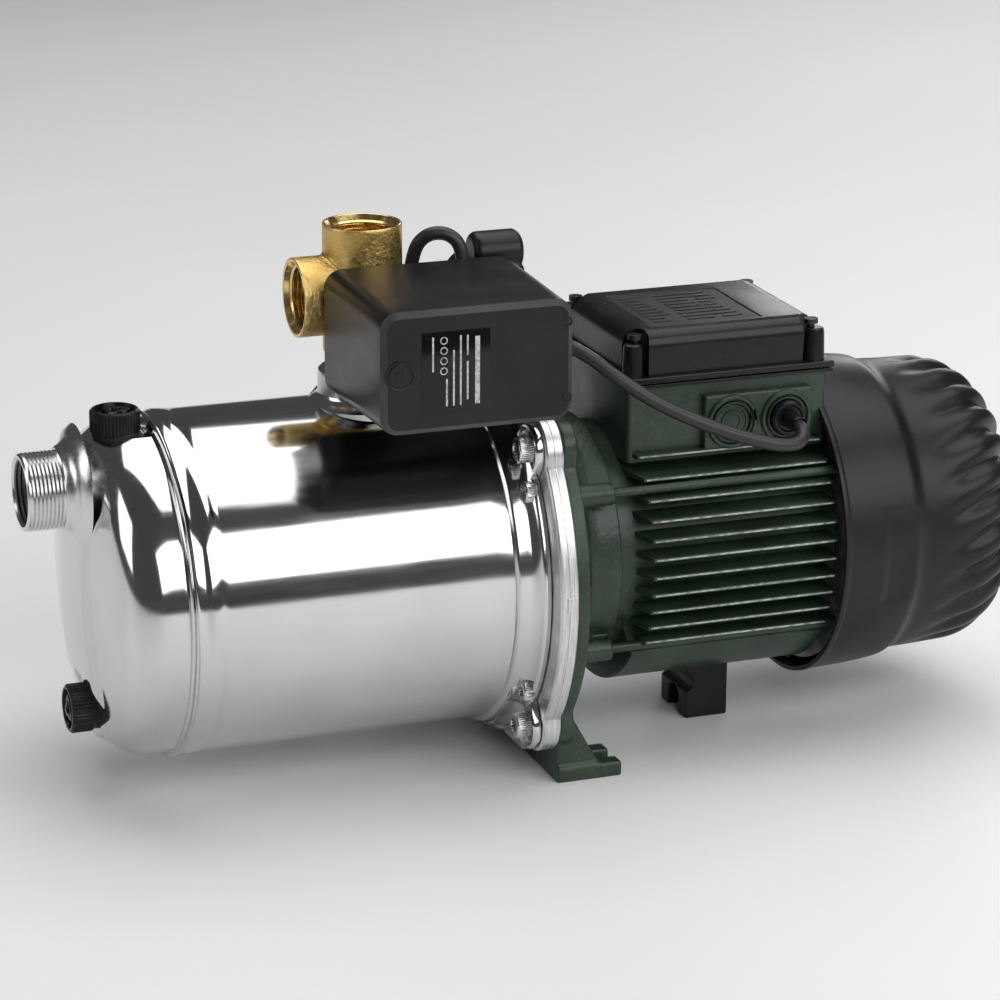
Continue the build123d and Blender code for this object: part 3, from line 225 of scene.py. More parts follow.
cord_finish = sheath()
mains_d = 0.007
mains_out = millimetres([
    (-26, -14, 218), (-26, 2, 218), (-30, 25, 213), (-37, 48, 198), (-43, 70, 176), (-46.5, 87, 147),
    (-48, 97, 114), (-48.5, 101, 80), (-48.5, 104, 48), (-48.5, 112, 21), (-48.5, 130, 5),
])
mains_back = millimetres([
    (-131.5, 133, 10.5), (-130, 117, 17), (-126, 107, 38), (-119, 103, 66), (-110, 101, 97), (-100, 97, 130),
    (-89, 84, 162), (-76, 63, 188), (-65, 38, 206), (-60, 18, 217), (-59.2, 6, 232), (-59.2, 0, 248),
    (-59, -2.5, 260.5), (-57, -6, 270.5), (-51, -9.5, 275.8), (-42.5, -13, 275.3), (-37, -15.4, 269),
    (-36.5, -16, 260),
])
coil_centre = Vector((-0.090, 0.150, 0.0))
coil_inner_r = 0.0345
coil_outer_r = 0.0415
knots_per_turn = 16


def coil_knots():
    """Three and a half turns: two side by side on the floor, going inwards, then one and a half on top of them
    going outwards.
    """
    lanes = [(coil_outer_r, mains_d / 2), (coil_inner_r, mains_d / 2),
             (coil_inner_r, mains_d * 1.5), (coil_outer_r, mains_d * 1.5)]
    knots = []
    steps = knots_per_turn * len(lanes) - knots_per_turn // 2
    for i in range(steps):
        lane = min(i / knots_per_turn, len(lanes) - 1)
        low, along = int(lane), lane - int(lane)
        crossing = max(0.0, (along - 0.6) / 0.4)
        r0, z0 = lanes[low]
        r1, z1 = lanes[min(low + 1, len(lanes) - 1)]
        angle = 2 * pi * i / knots_per_turn
        r = r0 + (r1 - r0) * crossing
        knots.append(coil_centre + Vector((r * cos(angle), r * sin(angle), z0 + (z1 - z0) * crossing)))
    return knots


mains_lead = cord("mains_lead", mains_out + coil_knots() + mains_back, mains_d, "root",
                  ["mains_cord", "cord_coil", "plug_tail"])

# ------------------------ motor lead
# A short length of the same lead, from the gland in the switch's right side to the gland on the terminal box.
motor_lead_points = millimetres([
    (-0.5, -45, 222), (7.5, -45, 222), (17, -52, 217), (29, -62, 207), (46, -71, 195), (66, -77, 185),
    (86, -82, 177), (104, -85, 171.5), (117, -84, 169), (125, -79.5, 170.5), (127.5, -70.5, 174.5),
    (127.5, -57, 174.5),
])
motor_lead = cord("motor_lead_cord", motor_lead_points, mains_d, "root", ["motor_lead"])


# ------------------------ pump casing
# Deep-drawn stainless steel, 1.5 mm thick and polished: a barrel with a seam bead, and a domed cap whose front
# is pressed in around the suction stub and above the drain plug.
axis_z = 0.104


def mm(value):
    return value / 1000


def at(x, y, z):
    """A point given in millimetres, its z measured from the shaft."""
    return Vector((mm(x), mm(y), axis_z + mm(z)))


def new_piece(name, form, finish, body, nodes=(), crease=35.0):
    bmesh.ops.remove_doubles(form, verts=form.verts, dist=1e-6)
    bmesh.ops.recalc_face_normals(form, faces=form.faces)
    mesh = bpy.data.meshes.new(name)
    form.to_mesh(mesh)
    form.free()
    mesh.shade_smooth()
    mesh.set_sharp_from_angle(angle=radians(crease))
    mesh.materials.append(finish)
    piece = bpy.data.objects.new(name, mesh)
    bpy.context.scene.collection.objects.link(piece)
    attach(piece, body)
    if nodes:
        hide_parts(*nodes)
    return piece


def arc(centre_along, centre_r, r, start, end, steps):
    """Points (along, radius) of an arc, its angles in degrees from the direction along."""
    points = []
    for i in range(steps + 1):
        angle = radians(start + (end - start) * i / steps)
        points.append((centre_along + r * cos(angle), centre_r + r * sin(angle)))
    return points


def ring_stack(form, count, steps, place):
    """A skin of rings joined one to the next; place(ring, angle) says where each of its points lies."""
    ring = bmesh.ops.create_circle(form, segments=steps, radius=1.0)["verts"]
    angles = {vert: 2 * pi * i / steps for i, vert in enumerate(ring)}
    edges = [edge for edge in form.edges if edge.verts[0] in angles and edge.verts[1] in angles]
    for number in range(count):
        if number:
            made = bmesh.ops.extrude_edge_only(form, edges=edges)["geom"]
            fresh = [part for part in made if isinstance(part, bmesh.types.BMVert)]
            for vert in fresh:
                root = next(e.other_vert(vert) for e in vert.link_edges if e.other_vert(vert) in ring_set)
                angles[vert] = angles[root]
            ring = fresh
            edges = [part for part in made if isinstance(part, bmesh.types.BMEdge)
                     and part.verts[0] in angles and part.verts[1] in angles
                     and part.verts[0] not in ring_set and part.verts[1] not in ring_set]
        ring_set = set(ring)
        for vert in ring:
            vert.co = place(number, angles[vert])
    return ring


def about_x(along, r, angle, y=0.0, z=0.0):
    """A point at a radius and an angle about a line along X; millimetres, z from the shaft."""
    return at(along, y + r * cos(angle), z + r * sin(angle))


def turned_x(form, outline, y=0.0, z=0.0, steps=96):
    """A skin turned about a line along X from (along, radius) points."""
    return ring_stack(form, len(outline), steps, lambda k, a: about_x(*outline[k], a, y, z))


def ease(value, low, high):
    """0 below low, 1 above high and a smooth step between."""
    t = min(1.0, max(0.0, (value - low) / (high - low)))
    return t * t * (3 - 2 * t)


def polished_steel(name, roughness=0.10):
    finish = Finish(name, Metallic=1.0)
    cloudy = finish.noise(14.0, 2.0)
    lines = finish.noise(60.0, 4.0, stretch=(0.4, 6.0, 6.0))
    rings = finish.noise(220.0, 2.0, stretch=(8.0, 0.3, 0.3))
    tone = finish.tint(cloudy, 0.3, 0.7, (0.60, 0.60, 0.605), (0.70, 0.70, 0.70))
    rough = finish.spread(lines * 0.6 + cloudy * 0.4, 0.35, 0.65, roughness * 0.75, roughness * 1.4)
    wavy = finish.bump(cloudy, 0.10, 0.002)
    return finish.feed(Base_Color=tone, Roughness=rough, Normal=finish.bump(rings, 0.015, 0.0002, wavy))


casing_finish = polished_steel("polished_casing")
seam_x = -198.0
dome_x = -236.0
casing_r = 87.0
cap_r = 85.2
knuckle_r = 22.0
crown_r = 386.0
knuckle_r_centre = cap_r - knuckle_r
knuckle_x = dome_x + 27.5
flange_x = -20.0
suction_z = 54.5
drain_z = -62.0
drain_seat_x = seam_x - 30.5
filler_x = seam_x - 15.5
filler_seat_z = 79.5
crown = []
for i in range(28):
    r = 0.05 + 66.5 * i / 28
    crown.append((dome_x + crown_r - sqrt(crown_r ** 2 - r ** 2), r))
casing_outline = crown + arc(knuckle_x, knuckle_r_centre, knuckle_r, 170.8, 90, 14)
casing_outline += [(x, cap_r) for x in range(-207, -200)]
casing_outline += [(-200.4, 85.4), (-199.9, 87.0), (-199.2, 87.8), (-198.5, 87.5), (-198.0, 86.6),
                   (-197.5, 87.5), (-196.8, 87.8), (-196.0, 87.2), (-195.2, 87.0), (-190.5, 87.0),
                   (-189.8, 87.5), (-184.0, 87.5), (-183.0, 87.0)]
casing_outline += [(x, casing_r) for x in range(-180, -36, 6)]
casing_outline += [(-34.4, 87.0), (-33.6, 87.3), (-33.0, 88.6), (-32.2, 89.6), (-31.4, 89.9), (-27.0, 89.9),
                   (-25.2, 90.2), (-23.6, 90.9), (-22.0, 92.2), (-20.8, 93.8), (flange_x, 95.0)]


def pressed_cap(point):
    """The cap's pressed shape: a rib from the suction stub to the drain, and the filler plug's flat."""
    x, y, z = point.x * 1000, point.y * 1000, (point.z - axis_z) * 1000
    if x < seam_x:
        front = 1 - ease(x, dome_x + 8, dome_x + 24)
        lobe = 1 - ease(hypot(y, z - suction_z), 24, 34)
        width = 15 + 0.10 * (suction_z - z)
        below = 1 - ease(z, suction_z, suction_z + 20)
        rib = (1 - ease(abs(y), width, width + 9)) * below * ease(z, -56, -44)
        x -= 3.4 * max(lobe, 0.75 * rib) * front
        pad = 1 - ease(hypot(y, (z - drain_z)), 15, 19)
        x += (drain_seat_x - x) * pad * (1 if x < seam_x - 10 else 0)
        on_flat = 1 - ease(abs(y), 17, 20)
        on_flat *= ease(x, filler_x - 19, filler_x - 16) * (1 - ease(x, filler_x + 14, filler_x + 15.2))
        if z > filler_seat_z:
            z += (filler_seat_z - z) * on_flat
    return at(x, y, z)


casing_form = bmesh.new()
ring_stack(casing_form, len(casing_outline), 240, lambda k, a: pressed_cap(about_x(*casing_outline[k], a)))


def lobed_r(angle, disc_r, half_h, blend):
    """Radius of the flange outline: a disc, flat above and below, with a round ear at each of four bolts."""
    c, s = cos(angle), abs(sin(angle))
    disc = min(disc_r, half_h / max(s, 1e-6))
    toward = abs(c) * bolt_y + s * bolt_z
    reach = toward ** 2 - bolt_y ** 2 - bolt_z ** 2 + ear_r ** 2
    if reach <= 0:
        return disc
    ear = toward + sqrt(reach)
    span = max(blend - abs(ear - disc), 0.0) / blend
    return max(ear, disc) + span * span * blend * 0.25


bolt_y = 70.0
bolt_z = 73.0
ear_r = 13.0


def lobed_disc(form, along, inner_r, profile, disc_r, half_h, blend=14.0, steps=360):
    """A lobed flange, closed inwards to a round edge at inner_r.

    It is built of (inset, along) steps; an inset is measured inwards from the lobed outline.
    """
    def place(k, a):
        if k == 0:
            return about_x(along, inner_r, a)
        inset, x = profile[k - 1]
        return about_x(x, lobed_r(a, disc_r, half_h, blend) - inset, a)
    return ring_stack(form, len(profile) + 1, steps, place)


lobed_disc(casing_form, flange_x, 94.5, [(3.6, flange_x), (2.9, -20.4), (2.1, -21.4), (1.2, -21.9),
                                         (0.4, -21.4), (0.0, -20.4), (0.0, -18.2), (0.4, -17.7),
                                         (1.4, -17.55), (12.0, -17.55)], 96.0, 96.0)
new_piece("casing_shell", casing_form, casing_finish, "root", ["pump_casing"], 40)

# ------------------------ suction stub
# A threaded stainless stub, G1, turned from bar and welded into the cap inside a drawn collar.
suction_form = bmesh.new()
stub_x0 = dome_x - 26.5
stub_outline = [(dome_x + 6, 19.7), (dome_x - 6.2, 19.7)]
for i in range(9):
    groove = stub_x0 + 18.5 - i * 2.0
    stub_outline += [(groove, 19.7), (groove - 0.9, 19.3)]
stub_outline += [(stub_x0 + 0.9, 19.4), (stub_x0, 18.6), (stub_x0, 17.2), (stub_x0 + 1.0, 16.4)]
turned_x(suction_form, stub_outline, z=suction_z)
bore_outline = [(stub_x0 + 0.9, 16.5)]
for i in range(12):
    groove = stub_x0 + 1.6 + i * 2.3
    bore_outline += [(groove, 15.6), (groove + 1.15, 16.5)]
bore_outline += [(dome_x + 8, 15.2)]
bore_form = bmesh.new()
turned_x(bore_form, bore_outline, z=suction_z)
# The bore gets a darker steel colour than the stub, as painted shade inside it.
pickled = Finish("painted_shade_bore", Metallic=1.0)
bore_marks = pickled.noise(80.0, 3.0)
bore_finish = pickled.feed(Base_Color=pickled.blend(bore_marks, (0.10, 0.10, 0.10), (0.24, 0.24, 0.23)),
                           Roughness=pickled.spread(bore_marks, 0.3, 0.7, 0.45, 0.65))
new_piece("suction_bore", bore_form, bore_finish, "root")
collar = [(dome_x - 7.4, 19.7), (dome_x - 7.6, 20.6), (dome_x - 7.0, 21.4), (dome_x - 5.4, 22.2),
          (dome_x - 3.6, 23.6), (dome_x - 2.2, 26.0), (dome_x - 0.6, 29.4), (dome_x + 2.6, 32.0)]
turned_x(suction_form, collar, z=suction_z, steps=128)
new_piece("suction_stub", suction_form, polished_steel("polished_stub", 0.2), "root",
          ["suction_nozzle"])


# ------------------------ seal plate
# The flange between casing and motor bracket: steel, turned on its face and brushed round its edge.
def brushed_steel():
    finish = Finish("brushed_band", Metallic=1.0)
    grain = finish.noise(300.0, 3.0, stretch=(6.0, 0.25, 0.25))
    stains = finish.noise(30.0, 3.0)
    tone = finish.tint(grain * 0.7 + stains * 0.3, 0.35, 0.65, (0.52, 0.52, 0.53), (0.82, 0.82, 0.82))
    return finish.feed(Base_Color=tone, Roughness=finish.spread(grain, 0.3, 0.7, 0.28, 0.45),
                       Normal=finish.bump(grain, 0.25, 0.0002))


def block(form, low, high, rounding=0.0, segments=3, only=None):
    """A block between two corners in millimetres, z from the shaft; its edges rounded, or only some of them."""
    verts = bmesh.ops.create_cube(form, size=1.0)["verts"]
    size = [mm(b - a) for a, b in zip(low, high)]
    bmesh.ops.scale(form, vec=size, verts=verts)
    bmesh.ops.translate(form, vec=at(*[(a + b) / 2 for a, b in zip(low, high)]), verts=verts)
    if rounding:
        edges = list({e for v in verts for e in v.link_edges})
        if only is not None:
            edges = [e for e in edges if only(e)]
        bevel_edges(form, edges, rounding, segments)
    return verts


def bevel_edges(form, edges, width, segments):
    return bmesh.ops.bevel(form, geom=edges, offset=mm(width), segments=segments, profile=0.5, affect="EDGES",
                           material=-1, clamp_overlap=True)


brushed_finish = brushed_steel()
plate_form = bmesh.new()
lobed_disc(plate_form, -17.3, 86.0,
           [(5.0, -17.3), (1.2, -17.3), (0.5, -16.8), (0.0, -16.2), (0.0, -12.9), (0.25, -12.7), (0.0, -12.5),
            (0.0, -8.6), (0.6, -7.9), (3.0, -7.7), (20.0, -7.7)], 108.0, 94.0)
block(plate_form, (-14.0, -108.6, -2.0), (-8.8, -107.4, 6.0), 0.4, 2)
new_piece("brushed_seal_plate", plate_form, brushed_finish, "root", ["seal_plate"])


# ------------------------ flange screws
# Four M8 and four M6 socket-head screws, nickel plated, with knurled heads.
def mottled(name, grain, dark, light, rough, relief, **constants):
    """A finish whose colour, roughness and relief all follow one noise; grain is its scale and detail."""
    finish = Finish(name, **constants)
    marks = finish.noise(*grain)
    tone = finish.tint(marks, 0.35, 0.65, dark, light)
    return finish.feed(Base_Color=tone, Roughness=finish.spread(marks, 0.3, 0.7, *rough),
                       Normal=finish.bump(marks, *relief))


bright_finish = mottled("bright_steel", (120.0, 3.0), (0.60, 0.60, 0.61), (0.74, 0.74, 0.75), (0.16, 0.28),
                        (0.06, 0.0002), Metallic=1.0)


def hex_r(angle, r):
    """Radius of a hexagon, r across its flats' half."""
    return r / cos((angle + pi / 6) % (pi / 3) - pi / 6)


def socket_head(form, x_under, y, z, r, height):
    """The head of a socket screw: its socket, rounded rim, knurled side and underside."""
    key = r * 0.52
    top = x_under - height
    rows = [(top + height * 0.55, 0.01, 0), (top + height * 0.55, key, 1), (top + 0.5, key, 1),
            (top, key * 1.12, 0), (top, r - 1.0, 0), (top + 0.25, r - 0.4, 0), (top + 0.9, r, 0),
            (top + 1.2, r, 2), (x_under - 0.5, r, 2), (x_under, r - 0.3, 0), (x_under + 0.6, r - 0.6, 0)]

    def place(k, a):
        along, radius, kind = rows[k]
        if kind == 1:
            radius = hex_r(a, radius)
        if kind == 2:
            radius += 0.16 * cos(36 * a)
        return about_x(along, radius, a, y, z)
    ring_stack(form, len(rows), 144, place)


screw_form = bmesh.new()
for side_y in (-1, 1):
    for side_z in (-1, 1):
        socket_head(screw_form, flange_x, side_y * bolt_y, side_z * bolt_z, 6.5, 8.0)
new_piece("flange_screws", screw_form, bright_finish, "root", ["flange_bolts"])
small_form = bmesh.new()
small_ring_r = 92
for angle in (35, 145, 215, 325):
    y, z = small_ring_r * cos(radians(angle)), small_ring_r * sin(radians(angle))
    socket_head(small_form, flange_x, y, z, 5.0, 6.0)
new_piece("small_screws", small_form, bright_finish, "root", ["plate_screws"])

# ------------------------ discharge neck
# A drawn stainless collar, welded to the top of the barrel, that the brass manifold screws into.
discharge_x = -84.3


def about_z(x, y, z, r, angle):
    """A point at a radius and an angle about an upright line; millimetres, z from the shaft."""
    return at(x + r * cos(angle), y + r * sin(angle), z)


def turned_z(form, outline, x, y=0.0, steps=96):
    """A skin turned about an upright line from (height, radius) points."""
    return ring_stack(form, len(outline), steps, lambda k, a: about_z(x, y, *outline[k], a))


neck_form = bmesh.new()
turned_z(neck_form, [(80.0, 29.0), (85.5, 28.5), (88.0, 26.0), (89.5, 24.0), (91.5, 23.1), (100.5, 23.0),
                     (102.2, 22.6), (103.0, 21.6), (103.0, 18.0), (101.0, 17.0), (88.0, 16.9)], discharge_x)
new_piece("discharge_neck", neck_form, polished_steel("polished_neck", 0.16), "root",
          ["discharge_nozzle"])


# ------------------------ brass manifold
# A sand-cast brass tee: rough outside with soft fillets, its port rims faced and its G1 threads cut on a lathe.
def cast_brass():
    finish = Finish("cast_brass", Metallic=1.0)
    grains = finish.noise(520.0, 3.0, 0.6)
    lumps = finish.noise(130.0, 3.0)
    stains = finish.noise(26.0, 4.0, 0.6)
    tone = finish.tint(stains, 0.35, 0.68, (0.60, 0.39, 0.11), (0.80, 0.57, 0.21))
    tone = finish.blend(finish.spread(grains, 0.55, 0.75, 0.0, 0.55), tone, (0.95, 0.80, 0.46))
    rough = finish.spread(grains, 0.3, 0.7, 0.30, 0.52)
    return finish.feed(Base_Color=tone, Roughness=rough,
                       Normal=finish.bump(grains, 0.55, 0.0005, finish.bump(lumps, 0.35, 0.0012)))


def cut_brass():
    finish = Finish("cut_brass", Metallic=1.0)
    rings = finish.noise(300.0, 2.0)
    tone = finish.tint(rings, 0.3, 0.7, (0.76, 0.53, 0.19), (0.90, 0.70, 0.34))
    return finish.feed(Base_Color=tone, Roughness=finish.spread(rings, 0.3, 0.7, 0.16, 0.3))


tee_z = 141.7
tee_arm = 36.0
tee_r = 20.1
cast_brass_finish = cast_brass()
cut_brass_finish = cut_brass()


def rod(form, start, end, r, steps=64):
    """A closed round bar between two points in millimetres, z from the shaft."""
    start, end = at(*start), at(*end)
    along = end - start
    turn = along.to_track_quat("Z", "Y").to_matrix().to_4x4()
    bmesh.ops.create_cone(form, cap_ends=True, segments=steps, radius1=mm(r), radius2=mm(r),
                          depth=along.length, matrix=Matrix.Translation((start + end) / 2) @ turn)


def temporary(name, form):
    mesh = bpy.data.meshes.new(name)
    form.to_mesh(mesh)
    form.free()
    made = bpy.data.objects.new(name, mesh)
    bpy.context.scene.collection.objects.link(made)
    return made


def finished(made):
    """The mesh of a temporary object with its modifiers applied; the object is removed."""
    bpy.context.view_layer.update()
    ready = made.evaluated_get(bpy.context.evaluated_depsgraph_get())
    form = bmesh.new()
    form.from_mesh(ready.to_mesh())
    ready.to_mesh_clear()
    bpy.data.objects.remove(made)
    return form


def cast(form, voxel, smooth, cutters=()):
    """Melts overlapping bodies into one casting with soft inner corners, then cuts its bores clean."""
    made = temporary("casting", form)
    melt = made.modifiers.new("melt", "REMESH")
    melt.mode = "VOXEL"
    melt.voxel_size = mm(voxel)
    soften = made.modifiers.new("soften", "SMOOTH")
    soften.factor = 0.5
    soften.iterations = smooth
    form = finished(made)
    for cutter in cutters:
        form = with_cut(form, cutter)
    return form


def with_cut(form, cutter):
    """Cuts one body out of another with clean edges."""
    made = temporary("kept", form)
    tool = temporary("tool", cutter)
    cut = made.modifiers.new("cut", "BOOLEAN")
    cut.operation = "DIFFERENCE"
    cut.solver = "EXACT"
    cut.object = tool
    form = finished(made)
    bpy.data.objects.remove(tool)
    return form


def one_rod(start, end, r):
    form = bmesh.new()
    rod(form, start, end, r, 96)
    return form


tee_form = bmesh.new()
tee_top = tee_z + tee_arm
side_x = discharge_x - tee_arm
proud = 0.6
rod(tee_form, (discharge_x, 0, tee_z - 30), (discharge_x, 0, tee_top + proud), tee_r)
rod(tee_form, (discharge_x, 0, tee_z), (side_x - proud, 0, tee_z), tee_r)
rod(tee_form, (discharge_x, 0, 89), (discharge_x, 0, tee_z - 24), 16.5)
rod(tee_form, (discharge_x, 0, tee_z), (discharge_x, -24.6, tee_z), 9.5)
bores = [one_rod((discharge_x, 0, tee_top - 0.2), (discharge_x, 0, tee_top + 3), 22),
         one_rod((side_x + 0.2, 0, tee_z), (side_x - 3, 0, tee_z), 22),
         one_rod((discharge_x, 0, 86), (discharge_x, 0, tee_top + 5), 16.9),
         one_rod((discharge_x - 1, 0, tee_z), (side_x - 5, 0, tee_z), 16.4),
         one_rod((discharge_x, 0, tee_top - 2.6), (discharge_x, 0, tee_top + 6), 18.2),
         one_rod((side_x + 2.6, 0, tee_z), (side_x - 6, 0, tee_z), 18.1)]
new_piece("brass_tee", cast(tee_form, 0.8, 6, bores), cast_brass_finish, "root",
          ["brass_manifold"], 50)
thread = [(-0.2, 19.4), (0.0, 19.2), (0.0, 18.6), (-0.2, 18.2), (-2.0, 16.9), (-2.6, 16.5)]
thread_pitch = 2.31
for i in range(7):
    turn = -thread_pitch * i
    thread += [(turn - 2.9, 16.5), (turn - 3.7, 15.3), (turn - 4.3, 15.3)]
thread += [(-19.0, 15.6), (-19.5, 12.6), (-34.0, 12.5)]
thread_form = bmesh.new()
turned_z(thread_form, [(tee_top + h, r) for h, r in thread], discharge_x)
turned_x(thread_form, [(side_x - h, r) for h, r in thread], z=tee_z)
new_piece("brass_threads", thread_form, cut_brass_finish, "root", [], 25)


# ------------------------ filler and drain plugs
# Hand-turned plugs of black glass-filled plastic, with a knurled rim and a raised three-cornered grip.
def black_plastic(name, dark, light, rough, grain=0.3):
    finish = Finish(name, Specular_IOR_Level=0.32)
    fine = finish.noise(900.0, 2.0)
    clouds = finish.noise(35.0, 3.0)
    tone = finish.tint(clouds, 0.35, 0.65, (dark, dark, dark * 1.04), (light, light, light * 1.04))
    return finish.feed(Base_Color=tone, Roughness=finish.spread(clouds, 0.3, 0.7, rough * 0.88, rough * 1.12),
                       Normal=finish.bump(fine, grain, 0.0002))


plug_finish = black_plastic("plug_plastic", 0.005, 0.010, 0.30)


def turn_plug(form, seat, up, side):
    """A plug on a seat point in millimetres; up is the way it unscrews and side lies across its grip."""
    up, side = Vector(up), Vector(side)
    across = up.cross(side)
    base = at(*seat)
    rows = [(-6.8, 8.4, 0), (1.9, 8.6, 0), (1.9, 12.0, 0), (2.4, 12.35, 0), (3.0, 12.3, 1), (12.4, 12.3, 1),
            (13.3, 11.9, 0), (13.75, 11.2, 0), (13.7, 10.2, 0), (12.2, 9.8, 0), (11.2, 9.6, 0),
            (11.1, 8.4, 2), (13.1, 7.6, 2), (13.5, 6.9, 2), (13.3, 4.4, 2), (11.9, 3.6, 2), (11.8, 0.02, 0)]

    def place(k, a):
        height, r, kind = rows[k]
        if kind == 1:
            r += 0.28 * cos(44 * a)
        if kind == 2:
            r *= 0.80 + 0.20 * cos(3 * a)
        return base + up * mm(height) + side * mm(r * cos(a)) + across * mm(r * sin(a))
    ring_stack(form, len(rows), 264, place)


filler_form = bmesh.new()
turn_plug(filler_form, (filler_x, 0, filler_seat_z), (0, 0, 1), (1, 0, 0))
new_piece("filler_cap", filler_form, plug_finish, "filler", ["filler_plug"])
drain_form = bmesh.new()
turn_plug(drain_form, (drain_seat_x, 0, drain_z), (-1, 0, 0), (0, 0, 1))
new_piece("drain_cap", drain_form, plug_finish, "drain", ["drain_plug"])


# ------------------------ switch cover
# Injection-moulded black plastic with draft towards its front, a bevelled front edge and one slotted screw.
def runs_along(axis):
    """Picks the edges of a block that run along one axis, 0 for X, 1 for Y and 2 for Z."""
    def test(edge):
        way = edge.verts[1].co - edge.verts[0].co
        return abs(way[axis]) > 0.98 * way.length
    return test


switch_low = (-113.0, -112.0, 98.0)
switch_high = (-12.5, -27.0, 161.5)
switch_finish = black_plastic("switch_plastic", 0.006, 0.012, 0.36, 0.45)
cover_form = bmesh.new()
verts = block(cover_form, switch_low, switch_high)
middle_x = mm((switch_low[0] + switch_high[0]) / 2)
middle_z = axis_z + mm((switch_low[2] + switch_high[2]) / 2)
for vert in verts:
    if vert.co.y < mm(-60):
        vert.co.x += mm(1.5) * (1 if vert.co.x < middle_x else -1)
        vert.co.z += mm(1.5) * (1 if vert.co.z < middle_z else -1)
bmesh.ops.delete(cover_form, geom=[f for f in cover_form.faces if f.calc_center_median().y > mm(-30)],
                 context="FACES_ONLY")
bevel_edges(cover_form, [e for e in cover_form.edges if runs_along(1)(e)], 9.0, 8)
# The chamfered front band gets a lighter plastic: a painted highlight where the chamfer catches the top light.
front_faces = [f for f in cover_form.faces if f.calc_center_median().y < mm(-111)]
band = bevel_edges(cover_form, list({e for f in front_faces for e in f.edges}), 2.8, 1)["faces"]
for face in band:
    face.material_index = 1
switch_shell = new_piece("switch_shell", cover_form, switch_finish, "switch_lid",
                         ["switch_cover"], 25)
switch_shell.data.materials.append(black_plastic("painted_highlight_band", 0.035, 0.070, 0.50, 0.6))
thicken = switch_shell.modifiers.new("wall", "SOLIDIFY")
thicken.thickness = mm(2.4)
thicken.offset = -1.0

# The slotted screw sits in a round well with a raised rim.
screw_x = -102.5
screw_z = 129.5
screw_form = bmesh.new()


def facing_front(form, outline, x, z, steps=72):
    """A skin turned about a line along Y from (y, radius) points."""
    def place(k, a):
        y, r = outline[k]
        return at(x + r * cos(a), y, z + r * sin(a))
    ring_stack(form, len(outline), steps, place)


facing_front(screw_form, [(-90, 2.9), (-110.6, 3.0), (-110.8, 5.6), (-112.2, 5.8), (-112.5, 5.5),
                          (-112.55, 0.02)], screw_x, screw_z)
facing_front(screw_form, [(-111.9, 7.6), (-112.3, 7.4), (-112.4, 6.9), (-112.2, 6.5), (-111.4, 6.3)],
             screw_x, screw_z)
new_piece("cover_fixing", screw_form, plug_finish, "switch_lid", ["cover_screw"])
slot_form = bmesh.new()
for side in (-1, 1):
    block(slot_form, (screw_x + side * 1.5 - 0.45, -112.75, screw_z - 3.4),
          (screw_x + side * 1.5 + 0.45, -112.4, screw_z + 3.4), 0.15, 2)
block(slot_form, (screw_x - 1.5, -112.75, screw_z - 0.5), (screw_x + 1.5, -112.4, screw_z + 0.5), 0.15, 2)
new_piece("screw_slot", slot_form, switch_finish, "switch_lid")

# ------------------------ switch label
# A glossy black plate with plain printed bars and rings in place of the maker's text; two small moulded rings
# on the cover mark the ends of the lever's travel.
label_form = bmesh.new()
block(label_form, (-91.6, -112.3, 109.0), (-57.0, -111.9, 149.6), 0.12, 2)
new_piece("label_plate", label_form, black_plastic("label_gloss", 0.004, 0.006, 0.12, 0.02),
          "switch_lid")
print_form = bmesh.new()
bars = [(-63.5, 112.5, 146.0, 2.4), (-68.5, 115.0, 134.0, 0.9), (-68.5, 137.0, 147.0, 0.9),
        (-72.0, 112.5, 147.0, 0.9), (-75.5, 112.5, 140.0, 0.9), (-79.0, 112.5, 126.0, 0.9),
        (-86.0, 130.0, 147.0, 0.9)]
for x, low_z, high_z, width in bars:
    block(print_form, (x - width / 2, -112.36, low_z), (x + width / 2, -112.28, high_z))
for z in (130.0, 135.0, 140.0, 145.0):
    facing_front(print_form, [(-112.36, 1.9), (-112.36, 1.4), (-112.28, 1.4)], -80.5, z, 32)


def white_print():
    finish = Finish("white_print", Roughness=0.5)
    worn = finish.noise(700.0, 3.0)
    return finish.feed(Base_Color=finish.tint(worn, 0.35, 0.6, (0.30, 0.30, 0.30), (0.62, 0.62, 0.60)))


new_piece("label_print", print_form, white_print(), "switch_lid")
mark_form = bmesh.new()
for z in (148.8, 111.0):
    facing_front(mark_form, [(-111.9, 2.6), (-112.25, 2.4), (-112.25, 1.8), (-111.9, 1.6)], -17.4, z, 48)
new_piece("lever_marks", mark_form, switch_finish, "switch_lid")

# ------------------------ motor bracket and front foot
# Sand-cast aluminium in dark green paint: a lobed flange, a neck with a window on each side and a slotted foot.
green_dark = (0.010, 0.022, 0.013)
green_light = (0.030, 0.060, 0.036)


def green_paint(name, grain):
    finish = Finish(name, Specular_IOR_Level=0.5)
    sand = finish.noise(420.0, 4.0, 0.6)
    patches = finish.noise(28.0, 3.0)
    tone = finish.tint(patches, 0.3, 0.7, green_dark, green_light)
    tone = finish.blend(finish.spread(sand, 0.56, 0.78, 0.0, 0.30), tone, (0.16, 0.21, 0.18))
    return finish.feed(Base_Color=tone, Roughness=finish.spread(patches, 0.3, 0.7, 0.30, 0.46),
                       Normal=finish.bump(sand, grain, 0.0005, finish.bump(patches, 0.2, 0.002)))


bracket_finish = green_paint("green_casting", 0.45)


def recast(node, name, voxel, smooth, finish, body, crease=60):
    """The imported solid's own shape, melted into a casting with softened edges."""
    form = bmesh.new()
    form.from_mesh(frame["nodes"][node].data)
    bmesh.ops.remove_doubles(form, verts=form.verts, dist=1e-6)
    return new_piece(name, cast(form, voxel, smooth), finish, body, [node], crease)


recast("motor_bracket", "cast_bracket", 1.15, 3, bracket_finish, "root")

